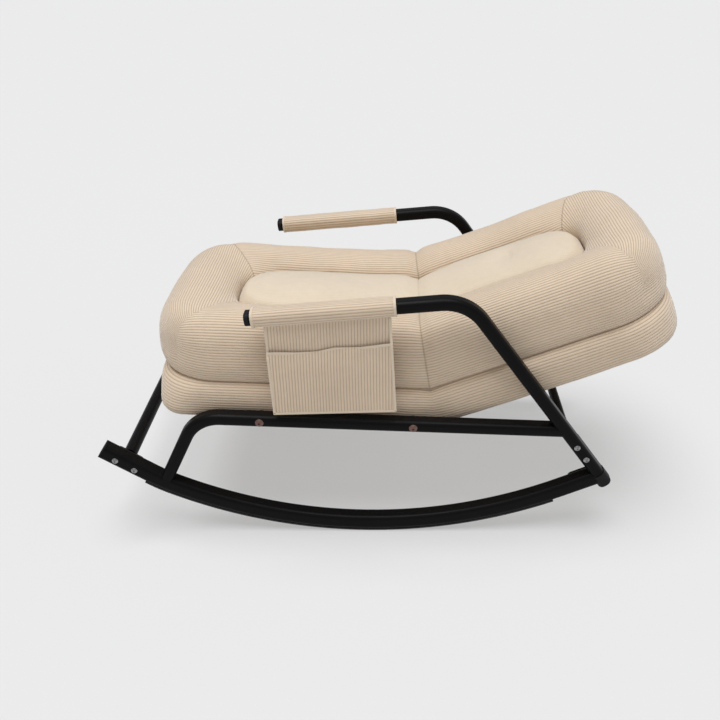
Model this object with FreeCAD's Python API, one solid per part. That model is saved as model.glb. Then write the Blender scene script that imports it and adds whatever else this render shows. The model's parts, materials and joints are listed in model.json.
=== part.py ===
import FreeCAD, Part
import math
import os

from FreeCAD import Vector

# Rocking lounger: two welded side frames on curved rails, a tilting back and a thick cushion.
#
# Lengths are in millimetres. +X points to the head end, +Z up, and -Y is the sitter's left side.
# The side frames are drawn with X = 0 at the rails' lowest point and Z = 0 on the floor. At the end
# everything is moved along X, so that the origin is the middle of the footprint.
# Cushions are drawn in a flat plan whose origin is the hinge axis, then tilted with the seat or back.

# Side frames
SIDE_Y = 300.0
TUBE_HIGH = 30.0
TUBE_WIDE = 40.0
TUBE_CORNER = 12.0
TUBE_WALL = 1.5
ARM_TUBE_WALL = 1.2

# Rocker rails
ROCKER_RADIUS = 1111.0
ROCKER_HIGH = 39.0
STRIP_THICK = 5.0
STRIP_WIDE = 30.0
ROCKER_FRONT_ARC = 26.4
ROCKER_REAR_ARC = 24.5
FRONT_BAR_SLOPE = 33.9
FRONT_BEND_RADIUS = 350.0
FRONT_BAR_END_X = -644.0
STRIP_FRONT_X = -541.0
STRIP_REAR_ARC = 23.0
STRIP_FLAT_DEPTH = 0.5
TIP_PLUG_THICK = 3.0

# Seat rail and front leg
HINGE_X = 148.0
HINGE_Z = 306.5
SEAT_TILT = -2.4
LEG_SLOPE = 63.2
RAIL_BEND_X = -413.0
RAIL_BEND_RADIUS = 90.0

# Arm tube
ARM_FRONT_X = -266.0
ARM_BEND_X = 212.4
ARM_BEND_Z = 627.0
ARM_SLOPE = 4.9
ARM_REAR_SLOPE = 53.9
ARM_BEND_RADIUS = 105.0
ARM_LOWER_X = 566.0
ARM_CAP_THICK = 10.0
LOWER_CAP_LENGTH = 35.0
LOWER_CAP_WALL = 2.0

# Arm sleeve
SLEEVE_FRONT_X = -261.0
SLEEVE_REAR_X = 57.0
SLEEVE_PAD = 5.0
BINDING_LONG = 4.0

# Cross tubes, plates and fasteners
FRONT_CROSS_X = -594.5
FRONT_CROSS_Z = 202.0
FRONT_CROSS_RADIUS = 16.0
REAR_CROSS_X = 449.8
REAR_CROSS_Z = 306.4
REAR_CROSS_RADIUS = 11.0
PLATE_THICK = 5.0
FRONT_BOLTS = ((-615.0, 215.5), (-573.5, 187.3))
REAR_BOLTS = ((485.0, 252.0), (510.0, 218.0))
SMALL_BOLT_RADIUS = 4.0
SEAT_BOLT_X = (-262.0, 96.0)
SEAT_BOLT_RADIUS = 5.0
SEAT_BOLT_HEAD = 10.0
HOLE_PLAY = 0.1

# Seat frame and back frame under the cushion
FRAME_TUBE = 20.0
SEAT_FRAME_WALL = 2.0
BACK_FRAME_WALL = 1.0
SEAT_SIDE_Y = 264.0
SEAT_FRONT_S = -610.0
SEAT_REAR_S = -14.0
SEAT_STRAP_S = (-530.0, -460.0, -365.0, -270.0, -205.0, -140.0)
CROSS_RADIUS = 8.0
STRAP_WIDE = 50.0
STRAP_THICK = 2.0
HINGE_PLATE_THICK = 3.0
HINGE_GAP = 0.3
HINGE_RADIUS = 18.0
HINGE_PLATE_REACH = 56.0
PIN_RADIUS = 4.0
PIN_PLAY = 0.05
BACK_HEAD_S = 578.0
BACK_CORNER = 40.0
BACK_CROSS_S = 330.0
BACK_STRAP_S = (150.0, 240.0, 420.0, 510.0)

# Cushion, in its flat plan
BACK_TILT = 21.0
RECLINE_RANGE = 40.0
FOLD_PLAY = 1.0
SEAM_T = 81.0
CREST_T = 238.0
PAD_EDGE_T = 188.0
PAD_CROWN_T = 203.0
SEAT_BOTTOM_T = 0.0
BACK_BOTTOM_T = -10.4
BASE_HALF = 277.0
ROLL_HALF = 272.5
PAD_HALF = 104.0
FOOT_S = -662.0
FOOT_ROLL_WIDE = 182.0
HEAD_S = 624.0
BASE_HEAD_S = 608.0
HEAD_ROLL_WIDE = 164.0
CORNER = 88.0
ROLL_ROUND = 68.0
BASE_ROUND = 34.0
SEAT_SKIN = 6.5
BACK_SKIN = 3.6
CLEAR = 0.4

# Pocket on the left arm
POCKET_X = (-231.0, 51.0)
POCKET_LOW_Z = (350.0, 358.0)
POCKET_TOP_Z = (590.0, 614.0)
POCKET_BACK_Y = -315.0
POCKET_FRONT_Y = -323.4
CLOTH = 1.2

SIDES = (("left", -1), ("right", 1))
SIDE_SIGNS = (-1, 1)
LONGEST_ARC = 120.0
TO_FLOOR = ROCKER_HIGH / 2 + STRIP_THICK - STRIP_FLAT_DEPTH


# Lines in the plane of a side frame

def direction(degrees):
    """Unit direction in a plane, from its angle above the first axis."""
    return math.cos(math.radians(degrees)), math.sin(math.radians(degrees))


def on_rail(x):
    """Height of the seat rail's centre line."""
    return HINGE_Z + (x - HINGE_X) * math.tan(math.radians(SEAT_TILT))


def on_arm(x):
    """Height of the arm rest's centre line."""
    return ARM_BEND_Z + (x - ARM_BEND_X) * math.tan(math.radians(ARM_SLOPE))


def on_rear_leg(x):
    """Height of the sloping part of the arm tube's centre line."""
    return ARM_BEND_Z - (x - ARM_BEND_X) * math.tan(math.radians(ARM_REAR_SLOPE))


def arc_pieces(first, middle, last, length):
    """Edges of the arc through three points, none longer than LONGEST_ARC."""
    arc = Part.Arc(first, middle, last)
    count = max(1, math.ceil(length / LONGEST_ARC))
    low = arc.FirstParameter
    step = (arc.LastParameter - low) / count
    edges = []
    for k in range(count):
        ends = [arc.value(low + step * (k + share)) for share in (0.0, 0.5, 1.0)]
        edges.append(Part.Arc(*ends).toShape())
    return edges


def rounded_path(points, radii, y=0.0):
    """Wire through points (x, z) in the plane at y, with a tangent arc at each inner point."""
    spots = [Vector(x, y, z) for x, z in points]
    edges = []
    start = spots[0]
    for corner, after, radius in zip(spots[1:-1], spots[2:], radii):
        into = (corner - start).normalize()
        out = (after - corner).normalize()
        half_turn = into.getAngle(out) / 2
        back = radius * math.tan(half_turn)
        first = corner - into * back
        last = corner + out * back
        inward = (out - into).normalize()
        middle = corner + inward * (radius / math.cos(half_turn) - radius)
        if (first - start).Length > 0.01:
            edges.append(Part.LineSegment(start, first).toShape())
        edges.extend(arc_pieces(first, middle, last, 2 * half_turn * radius))
        start = last
    if (spots[-1] - start).Length > 0.01:
        edges.append(Part.LineSegment(start, spots[-1]).toShape())
    return Part.Wire(edges)


# Sections and sweeps

def rounded_rectangle(wide, high, corner, shift=0.0):
    """Closed wire in the plane X = 0: wide along Y, high along Z, moved by shift along Z."""
    y = wide / 2
    z = high / 2
    c = corner
    k = corner * (1 - math.sqrt(0.5))
    flats = (((-y + c, -z), (y - c, -z)), ((y, -z + c), (y, z - c)),
             ((y - c, z), (-y + c, z)), ((-y, z - c), (-y, -z + c)))
    bows = ((y - k, -z + k), (y - k, z - k), (-y + k, z - k), (-y + k, -z + k))
    edges = []
    for index, (begin, end) in enumerate(flats):
        start_next = flats[(index + 1) % 4][0]
        points = [Vector(0, a, b + shift) for a, b in (begin, end, bows[index], start_next)]
        edges.append(Part.LineSegment(points[0], points[1]).toShape())
        edges.append(Part.Arc(points[1], points[2], points[3]).toShape())
    return Part.Wire(edges)


def swept(path, section):
    """Solid of a section, drawn in the plane X = 0, along a path in a side plane."""
    first = path.OrderedEdges[0]
    start = path.OrderedVertexes[0].Point
    along = first.tangentAt(first.FirstParameter)
    if (first.valueAt(first.FirstParameter) - start).Length > 0.01:
        along = first.tangentAt(first.LastParameter) * -1
    tilt = math.degrees(math.atan2(along.z, along.x))
    placed = section.copy()
    placed.Placement = FreeCAD.Placement(start, FreeCAD.Rotation(Vector(0, 1, 0), -tilt))
    return path.makePipeShell([placed], True, False)


def flat_tube(path, high=TUBE_HIGH, wall=TUBE_WALL):
    """Outer solid and hollow tube of the side frames' section along a path."""
    outer = swept(path, rounded_rectangle(TUBE_WIDE, high, TUBE_CORNER))
    bore = rounded_rectangle(TUBE_WIDE - 2 * wall, high - 2 * wall, TUBE_CORNER - wall)
    return outer, outer.cut(swept(path, bore))


def rod(x, z, radius, y_low, y_high):
    """Round bar along Y."""
    return Part.makeCylinder(radius, y_high - y_low, Vector(x, y_low, z), Vector(0, 1, 0))


def hollow_rod(x, z, radius, wall, half_long):
    """Round tube along Y, its middle at Y = 0."""
    outer = rod(x, z, radius, -half_long, half_long)
    return outer.cut(rod(x, z, radius - wall, -half_long, half_long))


def mirrored(shape, side):
    """The shape drawn for the left side, or its mirror image for the right side."""
    if side < 0:
        return shape
    return shape.mirror(Vector(0, 0, 0), Vector(0, 1, 0))


# Rocker rails

def rocker_path(front_x, rear_arc, rear_run, y=-SIDE_Y):
    """Centre line of the rail from front_x on the front bar to rear_run past the end of the arc."""
    centre_z = TO_FLOOR + ROCKER_RADIUS
    half = (ROCKER_FRONT_ARC + rear_arc) / 2
    middle = (rear_arc - ROCKER_FRONT_ARC) / 2
    reach = ROCKER_RADIUS / math.cos(math.radians(half))
    low_corner = (reach * math.sin(math.radians(middle)),
                  centre_z - reach * math.cos(math.radians(middle)))
    turn = FRONT_BAR_SLOPE - ROCKER_FRONT_ARC
    past = ROCKER_RADIUS * math.tan(math.radians(half))
    past += FRONT_BEND_RADIUS * math.tan(math.radians(turn / 2))
    dx, dz = direction(ROCKER_FRONT_ARC)
    front_corner = (low_corner[0] - dx * past, low_corner[1] + dz * past)
    rise = math.tan(math.radians(FRONT_BAR_SLOPE))
    tip = (front_x, front_corner[1] + (front_corner[0] - front_x) * rise)
    dx, dz = direction(rear_arc)
    rear = ROCKER_RADIUS * math.tan(math.radians(half)) + rear_run
    end = (low_corner[0] + dx * rear, low_corner[1] + dz * rear)
    points = (tip, front_corner, low_corner, end)
    return rounded_path(points, (FRONT_BEND_RADIUS, ROCKER_RADIUS), y)


def rocker_strip():
    """Tread strip under the rail, with a small flat where it stands."""
    shift = -(ROCKER_HIGH + STRIP_THICK) / 2
    section = rounded_rectangle(STRIP_WIDE, STRIP_THICK, 1.2, shift)
    strip = swept(rocker_path(STRIP_FRONT_X, STRIP_REAR_ARC, 0.0), section)
    below = Part.makeBox(400, 100, 10, Vector(-200, -SIDE_Y - 50, -10))
    return strip.cut(below)


def tip_plug():
    """Plug in the open front end of a rail: a thin head and a stem inside the tube."""
    path = rocker_path(FRONT_BAR_END_X, ROCKER_REAR_ARC, 0.0)
    start = path.OrderedVertexes[0].Point
    dx, dz = direction(180 - FRONT_BAR_SLOPE)
    out = Vector(dx, 0, dz)
    head = Part.Wire([Part.LineSegment(start, start + out * TIP_PLUG_THICK).toShape()])
    stem = Part.Wire([Part.LineSegment(start, start - out * 18).toShape()])
    inner = TUBE_WALL + 0.1
    stem_section = rounded_rectangle(TUBE_WIDE - 2 * inner, ROCKER_HIGH - 2 * inner, TUBE_CORNER - inner)
    plug = swept(head, rounded_rectangle(TUBE_WIDE, ROCKER_HIGH, TUBE_CORNER))
    return plug.fuse(swept(stem, stem_section)).removeSplitter()


# Seat rail and arm tube

def seat_rail_path():
    """Front leg up from inside the rail's tube, round the bend and back along the seat."""
    bend_z = on_rail(RAIL_BEND_X)
    dx, dz = direction(LEG_SLOPE)
    foot = (RAIL_BEND_X - dx * 230, bend_z - dz * 230)
    rear_x = 456.0
    points = (foot, (RAIL_BEND_X, bend_z), (rear_x, on_rail(rear_x)))
    return rounded_path(points, (RAIL_BEND_RADIUS,), -SIDE_Y)


def arm_path():
    """Arm rest, bend and sloping rear leg."""
    points = ((ARM_FRONT_X, on_arm(ARM_FRONT_X)), (ARM_BEND_X, ARM_BEND_Z),
              (ARM_LOWER_X, on_rear_leg(ARM_LOWER_X)))
    return rounded_path(points, (ARM_BEND_RADIUS,), -SIDE_Y)


def arm_run(x_from, x_to):
    """Straight wire along the arm rest between two places."""
    return rounded_path(((x_from, on_arm(x_from)), (x_to, on_arm(x_to))), (), -SIDE_Y)


def arm_front_cap():
    """Plug in the arm's front end, flush with the tube outside."""
    dx = math.cos(math.radians(ARM_SLOPE))
    inner = TUBE_WALL + 0.1
    head = swept(arm_run(ARM_FRONT_X - ARM_CAP_THICK * dx, ARM_FRONT_X),
                 rounded_rectangle(TUBE_WIDE, TUBE_HIGH, TUBE_CORNER))
    face = min(head.Faces, key=lambda f: f.CenterOfMass.x)
    head = head.makeFillet(3.0, face.Edges)
    stem = swept(arm_run(ARM_FRONT_X - 0.5, ARM_FRONT_X + 20),
                 rounded_rectangle(TUBE_WIDE - 2 * inner, TUBE_HIGH - 2 * inner, TUBE_CORNER - inner))
    return head.fuse(stem).removeSplitter()


def arm_lower_cap(tube_solid):
    """Rounded cap pushed over the lower end of the arm tube."""
    level_share = direction(-ARM_REAR_SLOPE)[0]
    end_x = ARM_LOWER_X + LOWER_CAP_WALL * level_share
    start_x = ARM_LOWER_X - LOWER_CAP_LENGTH * level_share
    points = ((start_x, on_rear_leg(start_x)), (end_x, on_rear_leg(end_x)))
    section = rounded_rectangle(TUBE_WIDE + 2 * LOWER_CAP_WALL, TUBE_HIGH + 2 * LOWER_CAP_WALL,
                                TUBE_CORNER + LOWER_CAP_WALL)
    cap = swept(rounded_path(points, (), -SIDE_Y), section)
    face = max(cap.Faces, key=lambda f: f.CenterOfMass.x - f.CenterOfMass.z)
    return cap.makeFillet(7.0, face.Edges).cut(tube_solid)


def arm_sleeve():
    """Padded sleeve round the arm tube, with softly rounded corners."""
    section = rounded_rectangle(TUBE_WIDE + 2 * SLEEVE_PAD, TUBE_HIGH + 2 * SLEEVE_PAD,
                                TUBE_CORNER + SLEEVE_PAD)
    outer = swept(arm_run(SLEEVE_FRONT_X, SLEEVE_REAR_X), section)
    ends = [f for f in outer.Faces if f.Area < 3000 and abs(f.normalAt(0, 0).x) > 0.9]
    edges = [e for f in ends for e in f.Edges]
    return outer.makeFillet(2.5, edges)


def sleeve_bindings():
    """Pale bindings that close the sleeve on the tube at both ends."""
    section = rounded_rectangle(TUBE_WIDE + 5, TUBE_HIGH + 5, TUBE_CORNER + 2.5)
    front = swept(arm_run(SLEEVE_FRONT_X - BINDING_LONG, SLEEVE_FRONT_X), section)
    rear = swept(arm_run(SLEEVE_REAR_X, SLEEVE_REAR_X + BINDING_LONG), section)
    return front, rear


# Plates and fasteners

def bar_plate(x_from, z_from, x_to, z_to, half_wide, y_low, thick):
    """Flat bar with round ends between two places in a side plane."""
    along = Vector(x_to - x_from, 0, z_to - z_from)
    length = along.Length
    tilt = math.degrees(math.atan2(along.z, along.x))
    bar = Part.makeBox(length, thick, 2 * half_wide, Vector(0, 0, -half_wide))
    for end in (0.0, length):
        bar = bar.fuse(Part.makeCylinder(half_wide, thick, Vector(end, 0, 0), Vector(0, 1, 0)))
    bar = bar.removeSplitter()
    bar.Placement = FreeCAD.Placement(Vector(x_from, y_low, z_from),
                                      FreeCAD.Rotation(Vector(0, 1, 0), -tilt))
    return bar


def dome_bolt(x, z, y_outer, y_inner, radius, head_radius, head_high, socket):
    """Bolt along +Y from a domed head at y_outer, with a six-sided socket in the head."""
    sphere_radius = (head_radius ** 2 + head_high ** 2) / (2 * head_high)
    ball = Part.makeSphere(sphere_radius, Vector(x, y_outer + sphere_radius - head_high, z))
    slab = Part.makeBox(60, head_high, 60, Vector(x - 30, y_outer - head_high, z - 30))
    shank = rod(x, z, radius, y_outer - 0.5, y_inner)
    key = hexagon(x, z, socket, y_outer - head_high - 1, y_outer - head_high * 0.35)
    return ball.common(slab).fuse(shank).cut(key)


def hexagon(x, z, across, y_low, y_high):
    """Six-sided bar along Y, across flats."""
    reach = across / math.sqrt(3)
    corners = []
    for k in range(7):
        turn = math.radians(60 * k + 30)
        corners.append(Vector(x + reach * math.cos(turn), y_low, z + reach * math.sin(turn)))
    return Part.Face(Part.makePolygon(corners)).extrude(Vector(0, y_high - y_low, 0))


def nut(x, z, radius, across, y_low, y_high):
    """Six-sided nut along Y with its bore."""
    return hexagon(x, z, across, y_low, y_high).cut(rod(x, z, radius, y_low - 1, y_high + 1))


# Places under the cushion, in the flat plans of the seat and the back

def tilted(shape, tilt):
    """Moves a shape from its flat plan, with the hinge at the origin, to its place."""
    placed = shape.copy()
    placed.Placement = FreeCAD.Placement(Vector(HINGE_X, 0, HINGE_Z),
                                         FreeCAD.Rotation(Vector(0, 1, 0), -tilt))
    return placed


def square_tube(x_from, x_to, y):
    """Hollow square tube along X in a flat plan."""
    half = FRAME_TUBE / 2
    wall = SEAT_FRAME_WALL
    outer = Part.makeBox(x_to - x_from, FRAME_TUBE, FRAME_TUBE, Vector(x_from, y - half, -half))
    outer = outer.makeFillet(3.0, [e for e in outer.Edges if abs(e.tangentAt(0).x) > 0.9])
    bore = Part.makeBox(x_to - x_from, FRAME_TUBE - 2 * wall, FRAME_TUBE - 2 * wall,
                        Vector(x_from, y - half + wall, -half + wall))
    return outer.cut(bore)


def cross_bar(s, half_long, t, wall):
    """Hollow round cross tube in a flat plan."""
    return hollow_rod(s, t, CROSS_RADIUS, wall, half_long)


def straps(places, half_long, t_top):
    """Flat straps across a frame in a flat plan."""
    made = []
    for s in places:
        made.append(Part.makeBox(STRAP_WIDE, 2 * half_long, STRAP_THICK,
                                 Vector(s - STRAP_WIDE / 2, -half_long, t_top - STRAP_THICK)))
    return made


BACK_TUBE_RADIUS = FRAME_TUBE / 2
SEAT_PLATE_Y = SEAT_SIDE_Y - FRAME_TUBE / 2
BACK_PLATE_Y = SEAT_PLATE_Y - HINGE_PLATE_THICK - HINGE_GAP
BACK_SIDE_Y = BACK_PLATE_Y - HINGE_PLATE_THICK - BACK_TUBE_RADIUS


def back_tube():
    """Round tube bent to a U, open at the hinge end, in the flat plan of the back."""
    start = HINGE_RADIUS
    corner = Vector(BACK_HEAD_S, -BACK_SIDE_Y, 0)
    bow = BACK_CORNER * (1 - math.sqrt(0.5))
    points = [Vector(start, -BACK_SIDE_Y, 0), corner - Vector(BACK_CORNER, 0, 0),
              corner + Vector(-bow, bow, 0), corner + Vector(0, BACK_CORNER, 0)]
    far = [Vector(p.x, -p.y, 0) for p in reversed(points)]
    path = Part.Wire([Part.LineSegment(points[0], points[1]).toShape(),
                      Part.Arc(points[1], points[2], points[3]).toShape(),
                      Part.LineSegment(points[3], far[0]).toShape(),
                      Part.Arc(far[0], far[1], far[2]).toShape(),
                      Part.LineSegment(far[2], far[3]).toShape()])
    solids = []
    for radius in (BACK_TUBE_RADIUS, BACK_TUBE_RADIUS - BACK_FRAME_WALL):
        ring = Part.Wire(Part.makeCircle(radius, points[0], Vector(1, 0, 0)))
        solids.append(path.makePipeShell([ring], True, False))
    return solids[0].cut(solids[1])


def hinge_seat_plate():
    """Plate welded on the inner side of the seat tube, with the pin's hole, in the seat's plan."""
    y_low = -SEAT_PLATE_Y
    plate = bar_plate(-26, 0, 0, 0, 9.0, y_low, HINGE_PLATE_THICK)
    disc = rod(0, 0, HINGE_RADIUS, y_low, y_low + HINGE_PLATE_THICK)
    hole = rod(0, 0, PIN_RADIUS, y_low - 1, y_low + HINGE_PLATE_THICK + 1)
    return plate.fuse(disc).removeSplitter().cut(hole)


def hinge_back_plate():
    """Toothed plate welded on the outer side of the back tube, in the back's plan."""
    y_low = -BACK_PLATE_Y
    plate = bar_plate(0, 0, HINGE_PLATE_REACH, 0, 9.0, y_low, HINGE_PLATE_THICK)
    disc = rod(0, 0, HINGE_RADIUS - 2, y_low, y_low + HINGE_PLATE_THICK)
    hole = rod(0, 0, PIN_RADIUS + PIN_PLAY, y_low - 1, y_low + HINGE_PLATE_THICK + 1)
    teeth = []
    for k in range(7):
        dx, dz = direction(130 + 18 * k)
        teeth.append(rod(dx * HINGE_RADIUS, dz * HINGE_RADIUS, 3.0, y_low - 1,
                         y_low + HINGE_PLATE_THICK + 1))
    return plate.fuse(disc).removeSplitter().cut(hole).cut(Part.makeCompound(teeth))


def hinge_pin():
    """Hinge pin with its head on the outer side."""
    y_head = -SEAT_PLATE_Y - 3
    pin = rod(0, 0, PIN_RADIUS, y_head, -BACK_PLATE_Y + HINGE_PLATE_THICK + 5)
    return pin.fuse(rod(0, 0, 7.0, y_head, -SEAT_PLATE_Y)).removeSplitter()


# Cushion layers, in their flat plans

def plan_outline(end, half, corner, open_at):
    """Face in the plane Z = 0: straight sides from open_at to rounded corners at end."""
    way = math.copysign(1.0, end)
    bow = corner * (1 - math.sqrt(0.5))
    near = [Vector(open_at, -half, 0), Vector(end - way * corner, -half, 0),
            Vector(end - way * bow, -half + bow, 0), Vector(end, -half + corner, 0)]
    far = [Vector(p.x, -p.y, 0) for p in reversed(near)]
    edges = [Part.LineSegment(near[0], near[1]), Part.Arc(near[1], near[2], near[3]),
             Part.LineSegment(near[3], far[0]), Part.Arc(far[0], far[1], far[2]),
             Part.LineSegment(far[2], far[3]), Part.LineSegment(far[3], near[0])]
    return Part.Face(Part.Wire([e.toShape() for e in edges]))


def level_edges(shape, t, open_at):
    """Edges lying at height t, without the ones across the open end."""
    found = []
    for edge in shape.Edges:
        heights = [v.Z for v in edge.Vertexes]
        places = [v.X for v in edge.Vertexes]
        level = max(abs(h - t) for h in heights) < 0.01
        across = max(abs(p - open_at) for p in places) < 0.01
        if level and not across:
            found.append(edge)
    return found


def slab(end, half, corner, low, high, rounding, open_at):
    """Layer with rounded upper and lower edges, open and square at open_at."""
    body = plan_outline(end, half, corner, open_at).extrude(Vector(0, 0, high - low))
    body.translate(Vector(0, 0, low))
    edges = level_edges(body, low, open_at) + level_edges(body, high, open_at)
    return body.makeFillet(rounding, edges)


def roll(end, wide, inset, open_at):
    """Roll round three sides, inset from its full size, with a crown and drawn-in sides."""
    way = math.copysign(1.0, end)
    low = SEAM_T + CLEAR + inset
    high = CREST_T - inset
    outer = plan_outline(end - way * inset, ROLL_HALF - inset, CORNER - inset, open_at)
    inner_end = end - way * (wide - inset)
    inner = plan_outline(inner_end, PAD_HALF + CLEAR + inset, 24.0 + inset, open_at)
    body = outer.extrude(Vector(0, 0, high - low))
    body.translate(Vector(0, 0, low))
    rounding = ROLL_ROUND - inset
    body = body.makeFillet(rounding, level_edges(body, low, open_at) + level_edges(body, high, open_at))
    hole = inner.extrude(Vector(0, 0, 400))
    body = body.cut(hole)
    inside = PAD_HALF + CLEAR + inset + 0.1
    rim = [e for e in level_edges(body, high, open_at) if max(abs(v.Y) for v in e.Vertexes) < inside]
    return body.makeFillet(ROLL_ROUND * 0.7 - inset, rim)


def pad(end, inset, open_at):
    """Middle pad with an arched top, inset from its full size."""
    way = math.copysign(1.0, end)
    half = PAD_HALF - inset
    low = SEAM_T + CLEAR + inset
    edge = PAD_EDGE_T - inset
    crown = PAD_CROWN_T - inset
    stop = end - way * inset
    left = Vector(open_at, -half, edge)
    right = Vector(open_at, half, edge)
    outline = [Part.LineSegment(Vector(open_at, -half, low), left),
               Part.Arc(left, Vector(open_at, 0, crown), right),
               Part.LineSegment(right, Vector(open_at, half, low)),
               Part.LineSegment(Vector(open_at, half, low), Vector(open_at, -half, low))]
    face = Part.Face(Part.Wire([e.toShape() for e in outline]))
    body = face.extrude(Vector(stop - open_at, 0, 0))
    upright = [e for e in body.Edges if abs(e.CenterOfMass.x - stop) < 0.01 and abs(e.tangentAt(0).z) > 0.9]
    body = body.makeFillet(25.0 - inset, upright)
    upper = [e for e in body.Edges if min(v.Z for v in e.Vertexes) > edge - 0.1
             and abs(e.CenterOfMass.x - open_at) > 0.01]
    return body.makeFillet(16.0 - inset / 2, upper)


def wedge(tilt, from_angle, to_angle, inset=0.0):
    """Sector about the hinge axis in a flat plan, between two angles measured in the room."""
    reach = 700.0
    centre = Vector(0, -400, 0)
    middle = math.radians((from_angle + to_angle) / 2 - tilt)
    spread = math.radians((to_angle - from_angle) / 2)
    back = inset / math.sin(spread)
    apex = centre + Vector(math.cos(middle) * back, 0, math.sin(middle) * back)
    first = math.radians(from_angle - tilt)
    last = math.radians(to_angle - tilt)
    points = [apex, apex + Vector(math.cos(first) * reach, 0, math.sin(first) * reach),
              apex + Vector(math.cos(last) * reach, 0, math.sin(last) * reach), apex]
    return Part.Face(Part.makePolygon(points)).extrude(Vector(0, 800, 0))


CREASE_ANGLE = (180 + SEAT_TILT + BACK_TILT) / 2
HALF_FOLD = (RECLINE_RANGE + FOLD_PLAY) / 2
SEAT_FOLD_ANGLE = CREASE_ANGLE + HALF_FOLD
BACK_FOLD_ANGLE = CREASE_ANGLE - HALF_FOLD


def base_end(seat):
    """Where the lower layer of the seat or back ends, in its flat plan."""
    return FOOT_S if seat else BASE_HEAD_S


def base_hollow(seat, inset, open_at):
    """Filling of the lower layer: above the frame's tubes, and down between them."""
    end = base_end(seat)
    way = math.copysign(1.0, end)
    floor_t = FRAME_TUBE / 2 + 1 + inset
    body = slab(end - way * inset, BASE_HALF - inset, CORNER - inset, floor_t, SEAM_T - inset, 24.0, open_at)
    bottom = (SEAT_BOTTOM_T if seat else BACK_BOTTOM_T) + inset
    if seat:
        half = SEAT_PLATE_Y - 12 - inset
        spans = ((FOOT_S + BASE_ROUND, open_at),)
    else:
        half = BACK_SIDE_Y - BACK_TUBE_RADIUS - 1 - inset
        gap = FRAME_TUBE / 2 + inset
        spans = ((open_at, BACK_CROSS_S - gap),
                 (BACK_CROSS_S + gap, BACK_HEAD_S - BACK_CORNER - inset))
    for low, high in spans:
        tall = floor_t + 10 - bottom
        body = body.fuse(Part.makeBox(high - low, 2 * half, tall, Vector(low, -half, bottom)))
    return body


def half_layer(layer, seat, inset):
    """One layer of the seat or back, full length, running a little past the crease."""
    past = 320.0
    tilt = SEAT_TILT if seat else BACK_TILT
    open_at = past if seat else -past
    end = FOOT_S if seat else HEAD_S
    bottom = SEAT_BOTTOM_T if seat else BACK_BOTTOM_T
    wide = FOOT_ROLL_WIDE if seat else HEAD_ROLL_WIDE
    way = math.copysign(1.0, end)
    if layer == "base" and inset == 0:
        made = slab(base_end(seat), BASE_HALF, CORNER, bottom, SEAM_T, BASE_ROUND, open_at)
    elif layer == "base":
        made = base_hollow(seat, inset, open_at)
    elif layer == "rim":
        made = roll(end, wide, inset, open_at)
    else:
        made = pad(end - way * (wide + CLEAR), inset, open_at)
    return made, tilt


def beyond_fold(tilt, angle, seat, inset):
    """Everything on the far side of a fold plane, as a large box in a flat plan."""
    size = 1600.0
    box = Part.makeBox(size, size, size, Vector(-size / 2, -size / 2, inset))
    if not seat:
        box = Part.makeBox(size, size, size, Vector(-size / 2, -size / 2, -size - inset))
    box.rotate(Vector(0, 0, 0), Vector(0, 1, 0), tilt - angle)
    return box


def clipped(layer, seat, fold, inset):
    """A layer's solid in place: the fold's share between crease and fold plane, or the rest."""
    made, tilt = half_layer(layer, seat, inset)
    limit = SEAT_FOLD_ANGLE if seat else BACK_FOLD_ANGLE
    if fold:
        low, high = sorted((CREASE_ANGLE, limit))
        return tilted(made.common(wedge(tilt, low, high)), tilt)
    return tilted(made.common(beyond_fold(tilt, limit, seat, inset + CLEAR / 2)), tilt)


def cushion_part(layer, seat):
    """One layer of the seat or back beyond the fold: a skin round a light filling."""
    skin = SEAT_SKIN if seat else BACK_SKIN
    return clipped(layer, seat, False, 0.0).cut(clipped(layer, seat, False, skin))


def fold_part(layer):
    """The stretch of a layer that bends at the crease: a skin round a light filling."""
    outer = clipped(layer, True, True, 0.0).fuse(clipped(layer, False, True, 0.0))
    inner = clipped(layer, True, True, BACK_SKIN).fuse(clipped(layer, False, True, BACK_SKIN))
    trim = tilted(wedge(0.0, BACK_FOLD_ANGLE, SEAT_FOLD_ANGLE, BACK_SKIN), 0.0)
    return outer.removeSplitter().cut(inner.common(trim))


# Pocket

def panel(top_edges, y, thick):
    """Cloth panel in a plane across Y, with straight low and side edges and the given top edge."""
    first = top_edges[0].Vertexes[0].Point
    last = top_edges[-1].Vertexes[-1].Point
    left_low = Vector(POCKET_X[0], 0, POCKET_LOW_Z[0])
    right_low = Vector(POCKET_X[1], 0, POCKET_LOW_Z[1])
    edges = list(top_edges)
    edges.append(Part.LineSegment(last, right_low).toShape())
    edges.append(Part.LineSegment(right_low, left_low).toShape())
    edges.append(Part.LineSegment(left_low, first).toShape())
    made = Part.Face(Part.Wire(edges)).extrude(Vector(0, thick, 0))
    made.translate(Vector(0, y, 0))
    return made


def pocket_back(sleeve_solid):
    """Back panel, from the low edge up to the sleeve that it is sewn to."""
    top = Part.LineSegment(Vector(POCKET_X[0], 0, POCKET_TOP_Z[0]), Vector(POCKET_X[1], 0, POCKET_TOP_Z[1]))
    made = panel([top.toShape()], POCKET_BACK_Y, CLOTH).cut(sleeve_solid)
    return max(made.Solids, key=lambda s: s.Volume)


def pocket_front():
    """Front panel, whose open upper edge hangs in two shallow swags."""
    start = Vector(POCKET_X[0], 0, 512)
    knee = Vector(-78, 0, 522)
    end = Vector(POCKET_X[1], 0, 535)
    swags = [Part.Arc(start, Vector(-165, 0, 510), knee).toShape(),
             Part.Arc(knee, Vector(-20, 0, 523.5), end).toShape()]
    return panel(swags, POCKET_FRONT_Y - CLOTH, CLOTH)


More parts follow.
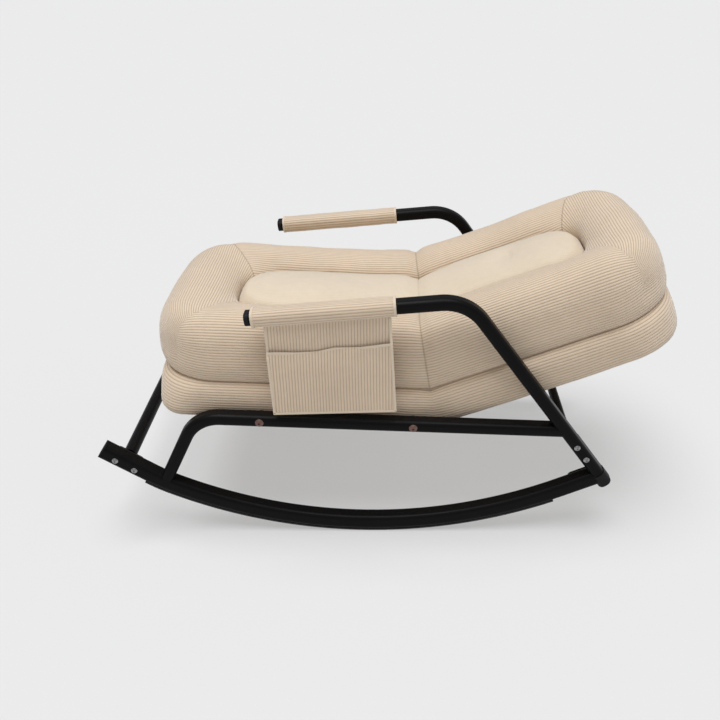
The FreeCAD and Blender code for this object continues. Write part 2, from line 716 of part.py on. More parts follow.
def pocket_gusset():
    """Bound edge that joins the panels along both sides and the bottom."""
    y_low = POCKET_FRONT_Y
    deep = POCKET_BACK_Y - y_low
    frame = []
    for grow in (0.0, CLOTH):
        x0 = POCKET_X[0] + grow
        x1 = POCKET_X[1] - grow
        corners = [Vector(x0, y_low, POCKET_LOW_Z[0] + grow), Vector(x1, y_low, POCKET_LOW_Z[1] + grow),
                   Vector(x1, y_low, 534 + grow), Vector(x0, y_low, 511 + grow)]
        corners.append(corners[0])
        frame.append(Part.Face(Part.makePolygon(corners)).extrude(Vector(0, deep, 0)))
    return frame[0].cut(frame[1])


# The whole chair

def side_frames():
    """Nodes of both side frames."""
    rocker_solid, rocker = flat_tube(rocker_path(FRONT_BAR_END_X, ROCKER_REAR_ARC, 97.0), ROCKER_HIGH)
    arm_solid, arm = flat_tube(arm_path(), wall=ARM_TUBE_WALL)
    rail = flat_tube(seat_rail_path())[1]
    rocker = rocker.cut(arm_solid)
    rail = rail.cut(arm_solid).cut(rocker_solid)
    holes = [rod(x, z, SMALL_BOLT_RADIUS + HOLE_PLAY, -330, -270) for x, z in FRONT_BOLTS]
    rocker = rocker.cut(Part.makeCompound(holes))
    holes = [rod(x, z, SMALL_BOLT_RADIUS + HOLE_PLAY, -330, -270) for x, z in REAR_BOLTS]
    arm = arm.cut(Part.makeCompound(holes))
    holes = [rod(x, on_rail(x), SEAT_BOLT_RADIUS + HOLE_PLAY, -330, -270) for x in SEAT_BOLT_X]
    rail = max(rail.cut(Part.makeCompound(holes)).Solids, key=lambda s: s.Volume)
    rocker = max(rocker.Solids, key=lambda s: s.Volume)
    sleeve_solid = arm_sleeve()
    bindings = [b.cut(arm_solid) for b in sleeve_bindings()]
    cap = arm_lower_cap(arm_solid).cut(rocker_solid).cut(rear_bracket())
    cap = max(cap.Solids, key=lambda s: s.Volume)
    left = {
        "rocker_tube": rocker,
        "rocker_strip": rocker_strip(),
        "rocker_tip_plug": tip_plug(),
        "seat_rail": rail,
        "arm_tube": arm,
        "arm_front_cap": arm_front_cap(),
        "arm_lower_cap": cap,
        "arm_sleeve": sleeve_solid.cut(arm_solid),
        "sleeve_binding": Part.makeCompound(bindings),
        "rear_bracket": rear_bracket(),
    }
    nodes = {}
    for name, shape in left.items():
        for side_name, side in SIDES:
            nodes[name + "_" + side_name] = mirrored(shape, side)
    return nodes, sleeve_solid


def rear_bracket():
    """Bent plate on the inner side: one arm on the arm tube, the other on the rail's rear end."""
    inner_y = -SIDE_Y + TUBE_WIDE / 2
    top_x = REAR_BOLTS[0][0]
    meet_x = 549.0
    dx, dz = direction(ROCKER_REAR_ARC)
    meet_z = on_rear_leg(meet_x)
    upper = bar_plate(top_x, on_rear_leg(top_x), meet_x, meet_z, 13, inner_y, PLATE_THICK)
    lower = bar_plate(meet_x - 62 * dx, meet_z - 62 * dz, meet_x, meet_z, 13, inner_y, PLATE_THICK)
    plate = upper.fuse(lower).removeSplitter()
    holes = [rod(x, z, SMALL_BOLT_RADIUS + HOLE_PLAY, -290, -270) for x, z in REAR_BOLTS]
    return plate.cut(Part.makeCompound(holes))


def both_sides(make, places):
    """Compound of one fastener at each place, on both sides."""
    made = [mirrored(make(x, z), side) for side in SIDE_SIGNS for x, z in places]
    return Part.makeCompound(made)


def crossings():
    """Cross tubes, flange plates and the small bolts with their nuts."""
    outer_y = -SIDE_Y - TUBE_WIDE / 2
    inner_y = -SIDE_Y + TUBE_WIDE / 2
    plate_y = inner_y + PLATE_THICK
    low, high = FRONT_BOLTS
    flange = bar_plate(low[0], low[1], high[0], high[1], 13, inner_y, PLATE_THICK)
    holes = [rod(x, z, SMALL_BOLT_RADIUS + HOLE_PLAY, -290, -270) for x, z in FRONT_BOLTS]
    flange = flange.cut(Part.makeCompound(holes))
    front = hollow_rod(FRONT_CROSS_X, FRONT_CROSS_Z, FRONT_CROSS_RADIUS, SEAT_FRAME_WALL, -plate_y)
    rear = hollow_rod(REAR_CROSS_X, REAR_CROSS_Z, REAR_CROSS_RADIUS, TUBE_WALL, -inner_y)

    def small_bolt(x, z):
        return dome_bolt(x, z, outer_y, plate_y + 9, SMALL_BOLT_RADIUS, 7.5, 3.5, 4.5)

    def small_nut(x, z):
        return nut(x, z, SMALL_BOLT_RADIUS, 13, plate_y, plate_y + 6.5)

    return {
        "front_cross_tube": front,
        "front_flange_plates": Part.makeCompound([mirrored(flange, side) for side in SIDE_SIGNS]),
        "front_bar_bolts": both_sides(small_bolt, FRONT_BOLTS),
        "front_bar_nuts": both_sides(small_nut, FRONT_BOLTS),
        "rear_cross_tube": rear,
        "rear_bracket_bolts": both_sides(small_bolt, REAR_BOLTS),
        "rear_bracket_nuts": both_sides(small_nut, REAR_BOLTS),
    }


def seat_fasteners():
    """The large-headed bolts through the rails into the seat frame."""
    outer_y = -SIDE_Y - TUBE_WIDE / 2
    rail_y = -SIDE_Y + TUBE_WIDE / 2
    frame_outer = -SEAT_SIDE_Y - FRAME_TUBE / 2
    frame_inner = -SEAT_SIDE_Y + FRAME_TUBE / 2
    places = [(x, on_rail(x)) for x in SEAT_BOLT_X]

    def bolt(x, z):
        return dome_bolt(x, z, outer_y, frame_inner + 10, SEAT_BOLT_RADIUS, SEAT_BOLT_HEAD, 4.5, 6.0)

    def seat_nut(x, z):
        return nut(x, z, SEAT_BOLT_RADIUS, 16, frame_inner, frame_inner + 8)

    def spacer(x, z):
        ring = rod(x, z, 10.0, rail_y, frame_outer)
        return ring.cut(rod(x, z, SEAT_BOLT_RADIUS + HOLE_PLAY, rail_y, frame_outer))

    return {
        "seat_bolts": both_sides(bolt, places),
        "seat_nuts": both_sides(seat_nut, places),
        "seat_spacers": both_sides(spacer, places),
    }


def seat_frame():
    """Side tubes, cross tubes and straps under the seat."""
    inner = SEAT_SIDE_Y - FRAME_TUBE / 2
    side = tilted(square_tube(SEAT_FRONT_S, SEAT_REAR_S, -SEAT_SIDE_Y), SEAT_TILT)
    holes = [rod(x, on_rail(x), SEAT_BOLT_RADIUS + HOLE_PLAY, -285, -245) for x in SEAT_BOLT_X]
    side = side.cut(Part.makeCompound(holes))
    low = SEAT_BOTTOM_T - CROSS_RADIUS - CLEAR
    nodes = {}
    for name, direction_sign in SIDES:
        nodes["seat_frame_side_" + name] = mirrored(side, direction_sign)
        nodes["hinge_seat_plate_" + name] = mirrored(tilted(hinge_seat_plate(), SEAT_TILT), direction_sign)
    for name, s in (("front", SEAT_FRONT_S + 12), ("middle", -330.0), ("rear", -84.0)):
        nodes["seat_frame_cross_" + name] = tilted(cross_bar(s, inner, low, SEAT_FRAME_WALL), SEAT_TILT)
    webbing = straps(SEAT_STRAP_S, inner, SEAT_BOTTOM_T - CLEAR)
    nodes["seat_webbing"] = tilted(Part.makeCompound(webbing), SEAT_TILT)
    pins = [mirrored(tilted(hinge_pin(), SEAT_TILT), side) for side in SIDE_SIGNS]
    nut_y = -BACK_PLATE_Y + HINGE_PLATE_THICK + HINGE_GAP
    one_nut = tilted(nut(0, 0, PIN_RADIUS, 12, nut_y, nut_y + 4), SEAT_TILT)
    nodes["hinge_pins"] = Part.makeCompound(pins)
    nodes["hinge_nuts"] = Part.makeCompound([mirrored(one_nut, side) for side in SIDE_SIGNS])
    return nodes


def back_frame():
    """U-shaped tube, cross tube, straps and hinge plates of the back."""
    inner = BACK_SIDE_Y - BACK_TUBE_RADIUS
    nodes = {
        "back_frame_tube": tilted(back_tube(), BACK_TILT),
        "back_frame_cross": tilted(cross_bar(BACK_CROSS_S, inner + 3, 0.0, BACK_FRAME_WALL).cut(
            Part.makeCompound([cylinder_along_s(side) for side in SIDE_SIGNS])), BACK_TILT),
        "back_webbing": tilted(
            Part.makeCompound(straps(BACK_STRAP_S, BACK_SIDE_Y, BACK_BOTTOM_T)), BACK_TILT),
    }
    for name, side in SIDES:
        nodes["hinge_back_plate_" + name] = mirrored(tilted(hinge_back_plate(), BACK_TILT), side)
    return nodes


def cylinder_along_s(side):
    """Solid bar in the place of a side of the back tube, in the back's flat plan."""
    return Part.makeCylinder(BACK_TUBE_RADIUS, 600, Vector(0, side * BACK_SIDE_Y, 0), Vector(1, 0, 0))


def frame_room():
    """Room in the cushion's underside for the tubes, plates and fasteners of both frames."""
    depth = 60.0
    top = FRAME_TUBE / 2 + 1

    def room(s_from, s_to, y_from, y_to, side):
        low = min(side * y_from, side * y_to)
        return Part.makeBox(s_to - s_from, y_to - y_from, depth + top, Vector(s_from, low, -depth))

    seat_room = []
    back_room = []
    hinge_room = []
    bolt_s = [(x - HINGE_X) / math.cos(math.radians(SEAT_TILT)) for x in SEAT_BOLT_X]
    for side in SIDE_SIGNS:
        seat_room.append(room(-800, 100, SEAT_PLATE_Y - 1, SEAT_PLATE_Y + 50, side))
        for s in bolt_s:
            seat_room.append(room(s - 12, s + 12, SEAT_PLATE_Y - 12, SEAT_PLATE_Y, side))
        half_wide = BACK_TUBE_RADIUS + 1
        back_room.append(room(0, BACK_HEAD_S + half_wide, BACK_SIDE_Y - half_wide,
                              BACK_SIDE_Y + half_wide, side))
        back_room.append(room(-30, HINGE_PLATE_REACH + 12, BACK_SIDE_Y, SEAT_PLATE_Y + 1, side))
        back_room.append(room(BACK_HEAD_S - BACK_CORNER, BACK_HEAD_S + half_wide,
                              BACK_SIDE_Y - BACK_CORNER, BACK_SIDE_Y + half_wide, side))
        hinge_room.append(rod(0, 0, HINGE_RADIUS + 2, min(side * 236.0, side * 286.0),
                              max(side * 236.0, side * 286.0)))
        hinge_room.append(room(-38, 30, 236, 286, side))
    head = Vector(BACK_HEAD_S - BACK_TUBE_RADIUS - 1, -BACK_SIDE_Y, -depth)
    back_room.append(Part.makeBox(FRAME_TUBE + 2, 2 * BACK_SIDE_Y, top + depth, head))
    back_room.append(Part.makeBox(FRAME_TUBE, 2 * BACK_SIDE_Y, top + depth,
                                  Vector(BACK_CROSS_S - FRAME_TUBE / 2, -BACK_SIDE_Y, -depth)))
    return seat_room, back_room, hinge_room


def cushions():
    """Every layer of the cushion, cut where the frames lie in it."""
    seat_room, back_room, hinge_room = frame_room()
    seat_cut = tilted(Part.makeCompound(seat_room + hinge_room), SEAT_TILT)
    back_cut = tilted(Part.makeCompound(back_room + hinge_room), BACK_TILT)
    names = {"base": ("seat_base_cushion", "back_base_cushion", "fold_base"),
             "rim": ("seat_rim_roll", "back_rim_roll", "fold_rim"),
             "pad": ("seat_pad", "back_pad", "fold_pad")}
    nodes = {}
    for layer, (seat_name, back_name, fold_name) in names.items():
        seat_part = cushion_part(layer, True)
        back_part = cushion_part(layer, False)
        fold = fold_part(layer)
        if layer == "base":
            seat_part = seat_part.cut(seat_cut)
            back_part = back_part.cut(back_cut)
            fold = fold.cut(seat_cut).cut(back_cut)
        nodes[seat_name] = seat_part
        nodes[back_name] = back_part
        nodes[fold_name] = fold
    return nodes


def main():
    os.makedirs("parts", exist_ok=True)
    nodes, sleeve_solid = side_frames()
    nodes.update(crossings())
    nodes.update(seat_fasteners())
    nodes.update(seat_frame())
    nodes.update(back_frame())
    nodes.update(cushions())
    nodes["pocket_back_panel"] = pocket_back(sleeve_solid)
    nodes["pocket_front_panel"] = pocket_front()
    nodes["pocket_gusset"] = pocket_gusset()
    foot_end = nodes["rocker_tip_plug_left"].optimalBoundingBox().XMin
    head_end = max(nodes[n].optimalBoundingBox().XMax for n in ("back_base_cushion", "back_rim_roll"))
    middle_x = (foot_end + head_end) / 2
    print("origin moved along X by", round(-middle_x, 3))
    for name, shape in nodes.items():
        shape.translate(Vector(-middle_x, 0, 0))
        shape.exportStep("parts/" + name + ".step")
    report(nodes)


def report(nodes):
    """Prints each node's solids, validity, volume and box."""
    for name, shape in sorted(nodes.items()):
        box = shape.optimalBoundingBox()
        corners = (box.XMin, box.XMax, box.YMin, box.YMax, box.ZMin, box.ZMax)
        print(name, len(shape.Solids), shape.isValid(), round(shape.Volume / 1000, 1), "cm3",
              [round(c, 1) for c in corners])


main()
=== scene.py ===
import json
import math

import bmesh
import bpy
import numpy as np
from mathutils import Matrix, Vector, noise


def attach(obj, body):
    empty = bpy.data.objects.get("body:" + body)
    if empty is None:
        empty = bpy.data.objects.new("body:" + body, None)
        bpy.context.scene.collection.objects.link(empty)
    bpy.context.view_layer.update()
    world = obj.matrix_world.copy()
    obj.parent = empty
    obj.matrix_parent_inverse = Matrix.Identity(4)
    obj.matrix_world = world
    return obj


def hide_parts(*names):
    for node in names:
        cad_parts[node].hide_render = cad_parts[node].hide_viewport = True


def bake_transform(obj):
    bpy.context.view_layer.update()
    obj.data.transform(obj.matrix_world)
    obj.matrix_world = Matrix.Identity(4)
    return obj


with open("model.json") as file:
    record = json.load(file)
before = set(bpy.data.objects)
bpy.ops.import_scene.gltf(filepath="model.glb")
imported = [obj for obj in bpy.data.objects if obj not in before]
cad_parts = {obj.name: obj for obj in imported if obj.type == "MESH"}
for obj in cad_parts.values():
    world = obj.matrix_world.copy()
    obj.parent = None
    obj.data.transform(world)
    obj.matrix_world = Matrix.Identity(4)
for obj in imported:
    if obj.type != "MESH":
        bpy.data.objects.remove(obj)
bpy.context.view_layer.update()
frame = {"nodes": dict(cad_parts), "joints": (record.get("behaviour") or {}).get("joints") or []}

bl_info = {
    "name": "Rocking lounge chair",
    "version": (1, 0, 0),
    "blender": (4, 5, 0),
    "location": "3D View > Sidebar > Lounge chair",
    "description": "Cushions, padded arms, pocket, straps, finishes and stage of a rocking lounge chair",
    "category": "Object",
}

# The chair's own places, in metres: X = 0 is the middle of the footprint, Z = 0 the floor. That middle
# lies towards the head end from the line on which the rails touch the floor, by MIDDLE_FROM_TOUCH.
MIDDLE_FROM_TOUCH = 0.026026
HINGE = Vector(frame["joints"][0]["pos_m"])
SEAT_TILT = math.radians(-2.4)
BACK_TILT = math.radians(21.0)
CREASE_HALF = (BACK_TILT - SEAT_TILT) / 2
# How far on both sides of the hinge a layer stretches or squeezes, and how far under it at most
CREASE_REACH = 0.15
LOWEST_BEND = -0.02


# Small helpers

def drop_selection():
    """Nothing selected and nothing active, in object mode."""
    if bpy.context.mode != "OBJECT":
        bpy.ops.object.mode_set(mode="OBJECT")
    bpy.ops.object.select_all(action="DESELECT")
    bpy.context.view_layer.objects.active = None


def make_active(obj):
    """Selects one object alone."""
    drop_selection()
    obj.select_set(True)
    bpy.context.view_layer.objects.active = obj


def finish_modifiers(obj):
    """Applies every modifier of a piece."""
    make_active(obj)
    for modifier in list(obj.modifiers):
        bpy.ops.object.modifier_apply(modifier=modifier.name)


def settle(obj, name, material):
    """Puts a piece's place into its mesh and gives it its name and material."""
    make_active(obj)
    bpy.ops.object.transform_apply(location=True, rotation=True, scale=True)
    obj.name = name
    obj.data.name = name
    obj.data.materials.clear()
    obj.data.materials.append(material)
    return obj


def smooth(obj, angle=math.radians(40)):
    """Smooth shading with hard edges above an angle."""
    make_active(obj)
    bpy.ops.object.shade_smooth_by_angle(angle=angle)


def new_mesh_object(name, verts, faces):
    """Mesh object from points and faces, linked to the scene."""
    mesh = bpy.data.meshes.new(name)
    mesh.from_pydata([tuple(v) for v in verts], [], faces)
    mesh.update()
    obj = bpy.data.objects.new(name, mesh)
    bpy.context.scene.collection.objects.link(obj)
    return obj


def join_pieces(pieces):
    """Joins pieces into the first of them."""
    make_active(pieces[0])
    for other in pieces[1:]:
        other.select_set(True)
    bpy.ops.object.join()
    return pieces[0]


def mesh_points(mesh):
    """Places of a mesh's points, a row each."""
    places = np.empty(len(mesh.vertices) * 3)
    mesh.vertices.foreach_get("co", places)
    return places.reshape(-1, 3)


def corner_points(mesh):
    """For every corner of every face, the place of its point."""
    corners = np.empty(len(mesh.loops), int)
    mesh.loops.foreach_get("vertex_index", corners)
    return mesh_points(mesh)[corners]


def lay_cloth(mesh, rule):
    """Cloth map of a mesh, in metres: the rule turns a point's place into along and across."""
    layer = mesh.uv_layers.active or mesh.uv_layers.new(name="cloth")
    layer.name = "cloth"
    for loop in mesh.loops:
        layer.data[loop.index].uv = rule(mesh.vertices[loop.vertex_index].co)


def face_outward(mesh, merge=False):
    """Turns a mesh's faces outward, with the points of its poles merged first where asked."""
    work = bmesh.new()
    work.from_mesh(mesh)
    if merge:
        bmesh.ops.remove_doubles(work, verts=work.verts, dist=2e-5)
        bmesh.ops.dissolve_degenerate(work, dist=1e-6, edges=work.edges)
    bmesh.ops.recalc_face_normals(work, faces=work.faces)
    work.to_mesh(mesh)
    work.free()


def add_wall(obj, thickness, offset=0.0):
    """Gives a sheet its thickness, to both sides of it or outward."""
    wall = obj.modifiers.new("wall", "SOLIDIFY")
    wall.thickness = thickness
    wall.offset = offset


def ease(x):
    """Smooth step from 0 to 1."""
    x = np.clip(x, 0.0, 1.0)
    return x * x * (3 - 2 * x)


def bell(distance, width):
    """1 at distance 0, fading out over a width."""
    return np.exp(-(distance / width) ** 2)


SPLINE_STEPS = 24


def between(a, b, c, d, x):
    """Place at share x of the way from b to c, on a smooth curve through a, b, c and d."""
    return 0.5 * (2 * b + (c - a) * x + (2 * a - 5 * b + 4 * c - d) * x * x
                  + (3 * b - a - 3 * c + d) * x ** 3)


def closed_spline(points):
    """Smooth closed curve through the given points, its first place again at the end."""
    p = np.array(points, float)
    n = len(p)
    dense = [between(p[i - 1], p[i], p[(i + 1) % n], p[(i + 2) % n], k / SPLINE_STEPS)
             for i in range(n) for k in range(SPLINE_STEPS)]
    return np.array(dense + dense[:1])


def open_spline(points):
    """Smooth open curve through the given points."""
    p = np.array(points, float)
    p = np.vstack([2 * p[0] - p[1], p, 2 * p[-1] - p[-2]])
    dense = [between(p[i - 1], p[i], p[i + 1], p[i + 2], k / SPLINE_STEPS)
             for i in range(1, len(p) - 2) for k in range(SPLINE_STEPS)]
    return np.array(dense + [p[-2]])


def run_along(places):
    """Length along a line of places, from its first one."""
    steps = np.linalg.norm(np.diff(places, axis=0), axis=1)
    return np.concatenate([[0], np.cumsum(steps)])


def evenly(curve, run, count):
    """A curve cut into equal lengths, where run holds its own lengths; gives the cuts' lengths too."""
    want = np.linspace(0, run[-1], count + 1)
    return np.stack([np.interp(want, run, curve[:, k]) for k in range(curve.shape[1])], 1), want


def outline_rows(outline, step):
    """Rows of an open outline about a step apart, and the length across the cloth at each."""
    curve = open_spline(outline)
    run = run_along(curve[:, :2])
    return evenly(curve, run, int(round(run[-1] / step)))


# Cushion layers: closed forms drawn flat as rings one inside the other, then bent at the crease

# Spacing of the stations along a ring's sides, the lengths that set their number, and those of an end
RING_STEP = 0.0085
BACK_LEG, SEAT_LEG = 0.53, 0.57
END_STEPS = 36
# Places near an edge or a crease, where rings and stations stand closer together
EDGE_STOPS = [0.0, 0.0015, 0.004, 0.008, 0.014]
PAST_EDGE = 0.022


def leg_shares(length):
    """Shares of a straight leg from the crease to the corner, close together at the crease."""
    rest = np.linspace(PAST_EDGE, length, int(length / RING_STEP))
    return np.concatenate([EDGE_STOPS, rest])[:-1] / length


def corner_angles():
    """Angles round a corner, closer together at its middle."""
    half = np.array([0, 8, 16, 23, 29, 34, 38, 41, 43.5, 45])
    return np.radians(np.concatenate([half, (90 - half[:-1])[::-1]]))[:-1]


def ring_points(foot, head, side, radius, head_radius=None):
    """Rounded rectangle, from the crease on the near side, round the head end and back."""
    small = max(min(radius, side, foot, head), 0.0)
    large = small if head_radius is None else max(min(head_radius, side, foot, head), 0.0)
    back = leg_shares(BACK_LEG)
    seat = leg_shares(SEAT_LEG)
    ends = np.linspace(0, 1, END_STEPS)[:-1]
    turn = corner_angles()
    lead, foot_lead = head - large, foot - small
    rim, foot_rim = side - large, side - small
    points = [(f * lead, -side) for f in back]
    points += [(lead + large * math.sin(a), -rim - large * math.cos(a)) for a in turn]
    points += [(head, -rim + 2 * rim * f) for f in ends]
    points += [(lead + large * math.cos(a), rim + large * math.sin(a)) for a in turn]
    far_back = np.concatenate([back, [1.0]])[::-1][:-1]
    points += [(lead * f, side) for f in far_back]
    points += [(-foot_lead * f, side) for f in seat]
    points += [(-foot_lead - small * math.sin(a), foot_rim + small * math.cos(a)) for a in turn]
    points += [(-foot, foot_rim - 2 * foot_rim * f) for f in ends]
    points += [(-foot_lead - small * math.cos(a), -foot_rim - small * math.sin(a)) for a in turn]
    near_seat = np.concatenate([seat, [1.0]])[::-1][:-1]
    points += [(-foot_lead * f, -side) for f in near_seat]
    marks = {"crease_near": 0, "crease_far": 2 * len(back) + 2 * len(turn) + len(ends)}
    return np.array(points), marks


# Where along the chair the ends begin to bow, over what length, and the half width that bows
BOW_FROM, BOW_OVER, BOW_HALF = 0.33, 0.25, 0.26


def level_ring(ring, up):
    """A ring's points, all at one height."""
    return np.column_stack([ring, np.full(len(ring), up)])


def bow_ends(grid, sizes):
    """Rounds both ends outward in plan: most at the middle line, nothing at the sides."""
    reach = np.abs(grid[:, :, 0])
    bow = np.where(grid[:, :, 0] < 0, sizes.foot_bow, sizes.head_bow)
    across = np.clip(1 - (grid[:, :, 1] / BOW_HALF) ** 2, 0, 1)
    grid[:, :, 0] += np.sign(grid[:, :, 0]) * bow * ease((reach - BOW_FROM) / BOW_OVER) * across
    return grid


def ring_lengths(grid):
    """Length along each ring from the near crease, and the ring's whole length."""
    step = np.linalg.norm(np.roll(grid, -1, axis=1) - grid, axis=2)
    run = np.cumsum(step, axis=1)
    return np.concatenate([np.zeros((len(grid), 1)), run[:, :-1]], axis=1), run[:, -1:]


def from_mark(runs, whole, mark):
    """Distance along the ring from a marked station, either way round."""
    d = np.abs(runs - runs[:, mark:mark + 1])
    return np.minimum(d, whole - d)


# Mitre seams: distance from the middle line, then reach along the chair from the hinge. The straight
# way past a seam is shorter than the way along the chair, because the seams slant.
MITRE_SLANT = 0.85
MITRES = {
    "foot_near": [(0.0, 0.42), (0.1165, 0.490), (0.19, 0.5375), (0.213, 0.555), (0.231, 0.5965),
                  (0.25, 0.64)],
    "foot_far": [(0.0, 0.42), (0.1165, 0.490), (0.19, 0.5375), (0.213, 0.550), (0.231, 0.585),
                 (0.25, 0.63)],
    "head_near": [(0.0, 0.40), (0.1165, 0.46), (0.165, 0.497), (0.19, 0.516), (0.22, 0.534), (0.25, 0.5535),
                  (0.262, 0.58), (0.27, 0.60)],
    "head_far": [(0.0, 0.38), (0.09, 0.43), (0.1165, 0.44), (0.155, 0.455), (0.19, 0.47), (0.217, 0.488),
                 (0.24, 0.53), (0.26, 0.58)],
}


def past_mitre(s, y):
    """How far each point lies past its corner's mitre, into the end leg; negative on the side leg."""
    reach = np.zeros(s.shape)
    for name, line in MITRES.items():
        here = ((s < 0) == name.startswith("foot")) & ((y < 0) == name.endswith("near"))
        across, along = np.transpose(line)
        reach = np.where(here, np.interp(np.abs(y), across, along), reach)
    return (np.abs(s) - reach) * MITRE_SLANT


def grid_normals(grid, closed_rows):
    """Outward directions of a grid of rings."""
    along = np.roll(grid, -1, axis=1) - np.roll(grid, 1, axis=1)
    if closed_rows:
        across = np.roll(grid, -1, axis=0) - np.roll(grid, 1, axis=0)
    else:
        across = np.gradient(grid, axis=0)
    n = np.cross(along, across)
    size = np.linalg.norm(n, axis=2, keepdims=True)
    return n / np.maximum(size, 1e-12)


def soft_noise(grid, scale, seed):
    """Gentle unevenness, one value a point."""
    flat = grid.reshape(-1, 3)
    shift = Vector((seed * 7.13, seed * 3.71, seed * 1.93))
    values = [noise.noise(Vector(p) * scale + shift) for p in flat]
    return np.array(values).reshape(grid.shape[:2])


# Swells of each filled cover: noise scale, seed and height, the broad ones first
PUFFS = {
    "rim_roll": ((9.0, 1, 0.0028), (26.0, 2, 0.0009)),
    "base_cushion": ((8.0, 5, 0.0026), (24.0, 6, 0.0009)),
    "inner_pad": ((7.0, 9, 0.004), (20.0, 10, 0.0011)),
}


def puffed(grid, name):
    """How far a filled cover swells at each point."""
    return sum(soft_noise(grid, scale, seed) * height for scale, seed, height in PUFFS[name])


# How deep and how wide a cover is pulled in at its seams: a broad tuck, and a sharp line in it
CREASE_TUCKS = ((0.006, 0.022), (0.0012, 0.0028))
MITRE_TUCKS = ((0.0030, 0.024), (0.0010, 0.003))
BASE_TUCKS = ((0.004, 0.03),)
PAD_TUCKS = ((0.007, 0.028), (0.002, 0.004))
# Width of the dark line of painted shade along a seam
SEAM_SHADE_WIDTH = 0.0022


def tucked(distance, tucks):
    """How far a cover is pulled in at a distance from a seam."""
    return sum(deep * bell(distance, wide) for deep, wide in tucks)


def bend_at_crease(points):
    """From the flat plan (along, across, up from the hinge) to the room, seat and back tilted."""
    s, y, t = points[:, 0], points[:, 1], points[:, 2]
    side = np.where(s >= 0, 1.0, -1.0)
    share = np.clip(1 - np.abs(s) / CREASE_REACH, 0, 1)
    s = s + side * math.tan(CREASE_HALF) * np.maximum(t, LOWEST_BEND) * share
    tilt = np.where(side > 0, BACK_TILT, SEAT_TILT)
    x = HINGE.x + s * np.cos(tilt) - t * np.sin(tilt)
    z = HINGE.z + s * np.sin(tilt) + t * np.cos(tilt)
    return np.stack([x, y, z], 1)


def cushion_mesh(name, grid, closed_rows, across, seam_shade):
    """Closed mesh of a grid of rings, with a cloth map (along, across) and a mark for the dark line of
    painted shade along its seams.
    """
    rows, stations = grid.shape[:2]
    runs, whole = ring_lengths(grid)
    middle = rows // 2
    along = np.append(runs[middle], whole[middle])
    faces = []
    corner_uv = []
    last = rows if closed_rows else rows - 1
    for i in range(last):
        k = (i + 1) % rows
        for j in range(stations):
            m = (j + 1) % stations
            faces.append((i * stations + j, i * stations + m, k * stations + m, k * stations + j))
            corner_uv += [(along[j], across[i]), (along[j + 1], across[i]),
                          (along[j + 1], across[i + 1]), (along[j], across[i + 1])]
    verts = grid.reshape(-1, 3)
    obj = new_mesh_object(name, verts, faces)
    cloth_map = obj.data.uv_layers.new(name="cloth")
    cloth_map.data.foreach_set("uv", np.array(corner_uv, np.float32).ravel())
    mark = obj.data.attributes.new("seam_shade", "FLOAT", "POINT")
    mark.data.foreach_set("value", seam_shade.reshape(-1).astype(np.float32))
    face_outward(obj.data, merge=True)
    return obj


# The roll's widths at its sides, foot and head, the height of the middle of its section, and how near
# to that middle the cords may be drawn together on the outer wall under it
ROLL_SIDE, ROLL_FOOT, ROLL_HEAD = 0.156, 0.174, 0.151
ROLL_CORE = 0.145
LEAST_OUT = 0.07
# Heights between which level cords give way to those laid round the section, and above which a mitre gets a
# dark line of painted shade
LEVEL_BELOW, LEVEL_FADE = 0.115, 0.05
MITRE_SHADE_FROM, MITRE_SHADE_FADE = 0.15, 0.03
# How dark the painted shade along the mitre seams is on the far and on the near side
FAR_MITRE_SHADE, NEAR_MITRE_SHADE = 0.8, 0.15


def cord_across(obj, middles, tables):
    """Cloth map whose cords run straight along each leg and meet in a V at the mitres.

    Low on the outer wall, under LEVEL_BELOW, the cords keep level right round the corners.
    """
    mesh = obj.data
    centres = np.empty(len(mesh.polygons) * 3)
    mesh.polygons.foreach_get("center", centres)
    centres = centres.reshape(-1, 3)
    counts = np.empty(len(mesh.polygons), int)
    mesh.polygons.foreach_get("loop_total", counts)
    leg = np.where(past_mitre(centres[:, 0], centres[:, 1]) < 0, 0, np.where(centres[:, 0] < 0, 1, 2))
    leg = np.repeat(leg, counts)
    p = corner_points(mesh)
    value = np.zeros(len(p))
    for k, axis in enumerate((1, 0, 0)):
        out = np.abs(p[:, axis]) - middles[k]
        out = np.where((p[:, 2] < ROLL_CORE) & (out > 0), np.maximum(out, LEAST_OUT), out)
        angle = np.arctan2(p[:, 2] - ROLL_CORE, out)
        turns, lengths = tables[k]
        angle = (angle - turns[0]) % (2 * math.pi) + turns[0]
        value = np.where(leg == k, np.interp(angle, turns, lengths), value)
    layer = mesh.uv_layers["cloth"]
    level = np.empty(len(p) * 2, np.float32)
    layer.data.foreach_get("uv", level)
    level = level.reshape(-1, 2)[:, 1]
    share = ease((p[:, 2] - LEVEL_BELOW) / LEVEL_FADE)
    value = value * share + level * (1 - share)
    past = past_mitre(p[:, 0], p[:, 1])
    layer.data.foreach_set("uv", np.stack([past, value], 1).astype(np.float32).ravel())
    # Dark line of painted shade along each mitre seam on the roll's upper part, stronger on the far side
    places = mesh_points(mesh)
    sewn = np.where(places[:, 1] > 0, FAR_MITRE_SHADE, NEAR_MITRE_SHADE) * ease((places[:, 2] - MITRE_SHADE_FROM) / MITRE_SHADE_FADE)
    mark = mesh.attributes.new("mitre", "FLOAT", "POINT")
    mark.data.foreach_set("value", sewn.astype(np.float32))


def leg_table(middle, outside, width, rows, cords):
    """Direction from the middle of a leg's section against the length of cloth round it.

    With cords above 1, the leg has that many times as many cords as the cloth's own pitch gives.
    """
    place = np.column_stack([outside - width * rows[:, 0] - middle, rows[:, 1] - ROLL_CORE])
    turns = np.unwrap(np.arctan2(place[:, 1], place[:, 0]))
    lengths = run_along(np.vstack([place, place[:1]]))
    return np.append(turns, turns[0] + 2 * math.pi), lengths * cords


def bend_object(obj):
    """Bends a flat cushion layer at the crease and shades it smooth."""
    mesh = obj.data
    mesh.vertices.foreach_set("co", bend_at_crease(mesh_points(mesh)).ravel())
    mesh.update()
    make_active(obj)
    bpy.ops.object.shade_smooth()


# Shader pieces

